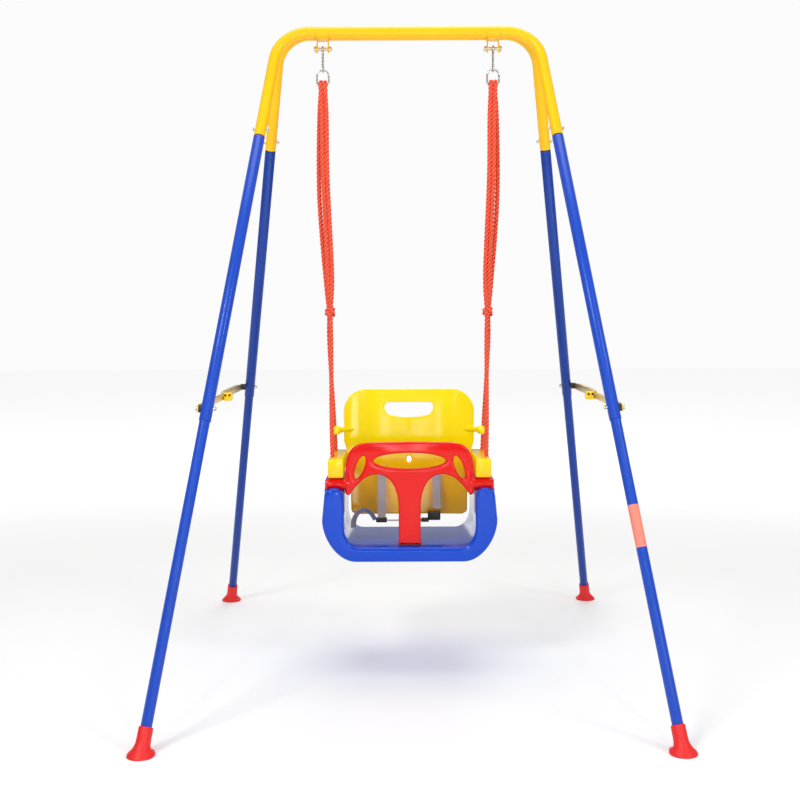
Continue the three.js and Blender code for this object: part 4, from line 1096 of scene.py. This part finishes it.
def ribbonMesh(points, width, thickness, centre, turned=False, roll=0.0):
    # points in (y, z), or (x, z) when turned; a flat strap with soft edges and its own measure along and across
    run = smoothRoute([(p[0], p[1], 0) for p in points], 3.0)
    section = [(-0.5 + i / 10, -0.5) for i in range(1, 10)] + [(0.5, -0.25), (0.5, 0.25)]
    section += [(-u, -w) for u, w in section]
    rings, measures = [], []
    travelled = 0.0
    for i, p in enumerate(run):
        before, after = run[max(i - 1, 0)], run[min(i + 1, len(run) - 1)]
        t = (after - before).normalized()
        n = Vector((-t.y, t.x, 0))
        if i:
            travelled += (p - run[i - 1]).length
        ring = []
        for u, w in section:
            # roll tips the strap about its own run, so that one edge lies lower
            q = p + n * (thickness * (w + 0.5) + u * width * math.sin(roll))
            across = centre + u * width * math.cos(roll)
            ring.append(Vector((q.x, across, q.y)) * mm if turned else Vector((across, q.x, q.y)) * mm)
            measures.append((travelled * mm, u * width * mm))
        rings.append(ring)
    mesh = ringsToMesh(rings)
    for name, index in (("along", 0), ("across", 1)):
        attribute = mesh.attributes.new(name, "FLOAT", "POINT")
        attribute.data.foreach_set("value", [m[index] for m in measures])
    shape = bmesh.new()
    shape.from_mesh(mesh)
    bmesh.ops.recalc_face_normals(shape, faces=shape.faces)
    shape.to_mesh(mesh)
    shape.free()
    mesh.shade_smooth()
    mesh.set_sharp_from_angle(angle=math.radians(50))
    return mesh


belt = {"width": 19.4, "thickness": 1.5, "sideX": 66, "centreWidth": 15.6, "centreThickness": 1.4,
        "tailRoll": 0.62}
hanging = [(98, 454.2), (82, 454.2), (70, 447), (62, 420), (50, 390), (34, 362), (18, 346)]
for side, sign, route in (("left", -1, hanging), ("right", 1, hanging[:6])):
    mesh = ribbonMesh(route, belt["width"], belt["thickness"], sign * belt["sideX"])
    finished(side + "Strap", mesh, "webbing", "swing", [side + "_strap"])
tail = [(-80, 341), (-92, 358), (-106, 365), (-121, 359), (-131, 344), (-134, 322)]
tailMesh = ribbonMesh(tail, belt["width"], belt["thickness"], 4, turned=True, roll=belt["tailRoll"])
finished("strapTail", tailMesh, "webbing", "swing", ["strap_tail"])
between = [(-52.5, 338.2), (-20.5, 338.2)]
centreMesh = ribbonMesh(between, belt["centreWidth"], belt["centreThickness"], 6, turned=True)
finished("centreStrap", centreMesh, "webbing", "swing", ["centre_strap"])
print("belt straps ready")


def ladderMesh(x0, x1, y0, y1, z0, z1):
    # an adjuster: a rounded frame with two slots and a bar between them
    frameBlock = blockMesh(x0, x1, y0, y1, z0, z1, 1.8, 4)
    width = x1 - x0
    cutters = []
    for a, b in ((0.16, 0.40), (0.60, 0.84)):
        cutters.append(blockMesh(x0 + a * width, x0 + b * width, y0 + 3, y1 - 3, z0 - 4, z1 + 4, 0.6, 2))
    return tidied(booleanMesh(frameBlock, cutters), 34)


finished("leftAdjuster", ladderMesh(-79, -53.2, -3.8, 15.3, 335.2, 345.3), "black", "swing",
         ["left_adjuster"])
buckleParts = [blockMesh(-20, 4, -5.8, 17.8, 333.2, 344.3, 2.6, 5),
               blockMesh(2, 27.6, -3.2, 15.2, 334.6, 343.0, 2.2, 5),
               blockMesh(-2, 9, -5.9, -2.6, 335.5, 342, 1.2, 3),
               blockMesh(-2, 9, 14.6, 17.9, 335.5, 342, 1.2, 3)]
finished("buckleBody", tidied(joinedMesh(buckleParts), 34), "black", "swing", ["buckle"])
finished("rightAdjuster", tidied(joinedMesh([ladderMesh(28.1, 46, -3.8, 15.3, 336.1, 343.9),
                                             blockMesh(44, 73.9, 8.1, 31.9, 338.1, 357.8, 3, 4)]), 34),
         "black", "swing", ["right_adjuster"])

# a plain blank label round the lower leg, sunk a little at both ends
legLabel = {"down": 1106, "length": 86, "radius": 11.14, "endRadius": 11.02, "edge": 0.2, "sides": 48}
start, stop, edge = legLabel["down"], legLabel["down"] + legLabel["length"], legLabel["edge"]
labelProfile = [(start, legLabel["endRadius"]), (start + edge, legLabel["radius"]),
                (stop - edge, legLabel["radius"]), (stop, legLabel["endRadius"])]
labelMesh = tidied(ringsToMesh(legRings("front", 1, labelProfile, legLabel["sides"])), 40)
finished("legLabel", labelMesh, "label", "front_frame")
print("belt and label ready")

({"cad": [list(v) if hasattr(v, "__len__") else v for v in cadBounds],
           "visual": [list(v) if hasattr(v, "__len__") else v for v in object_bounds()]})
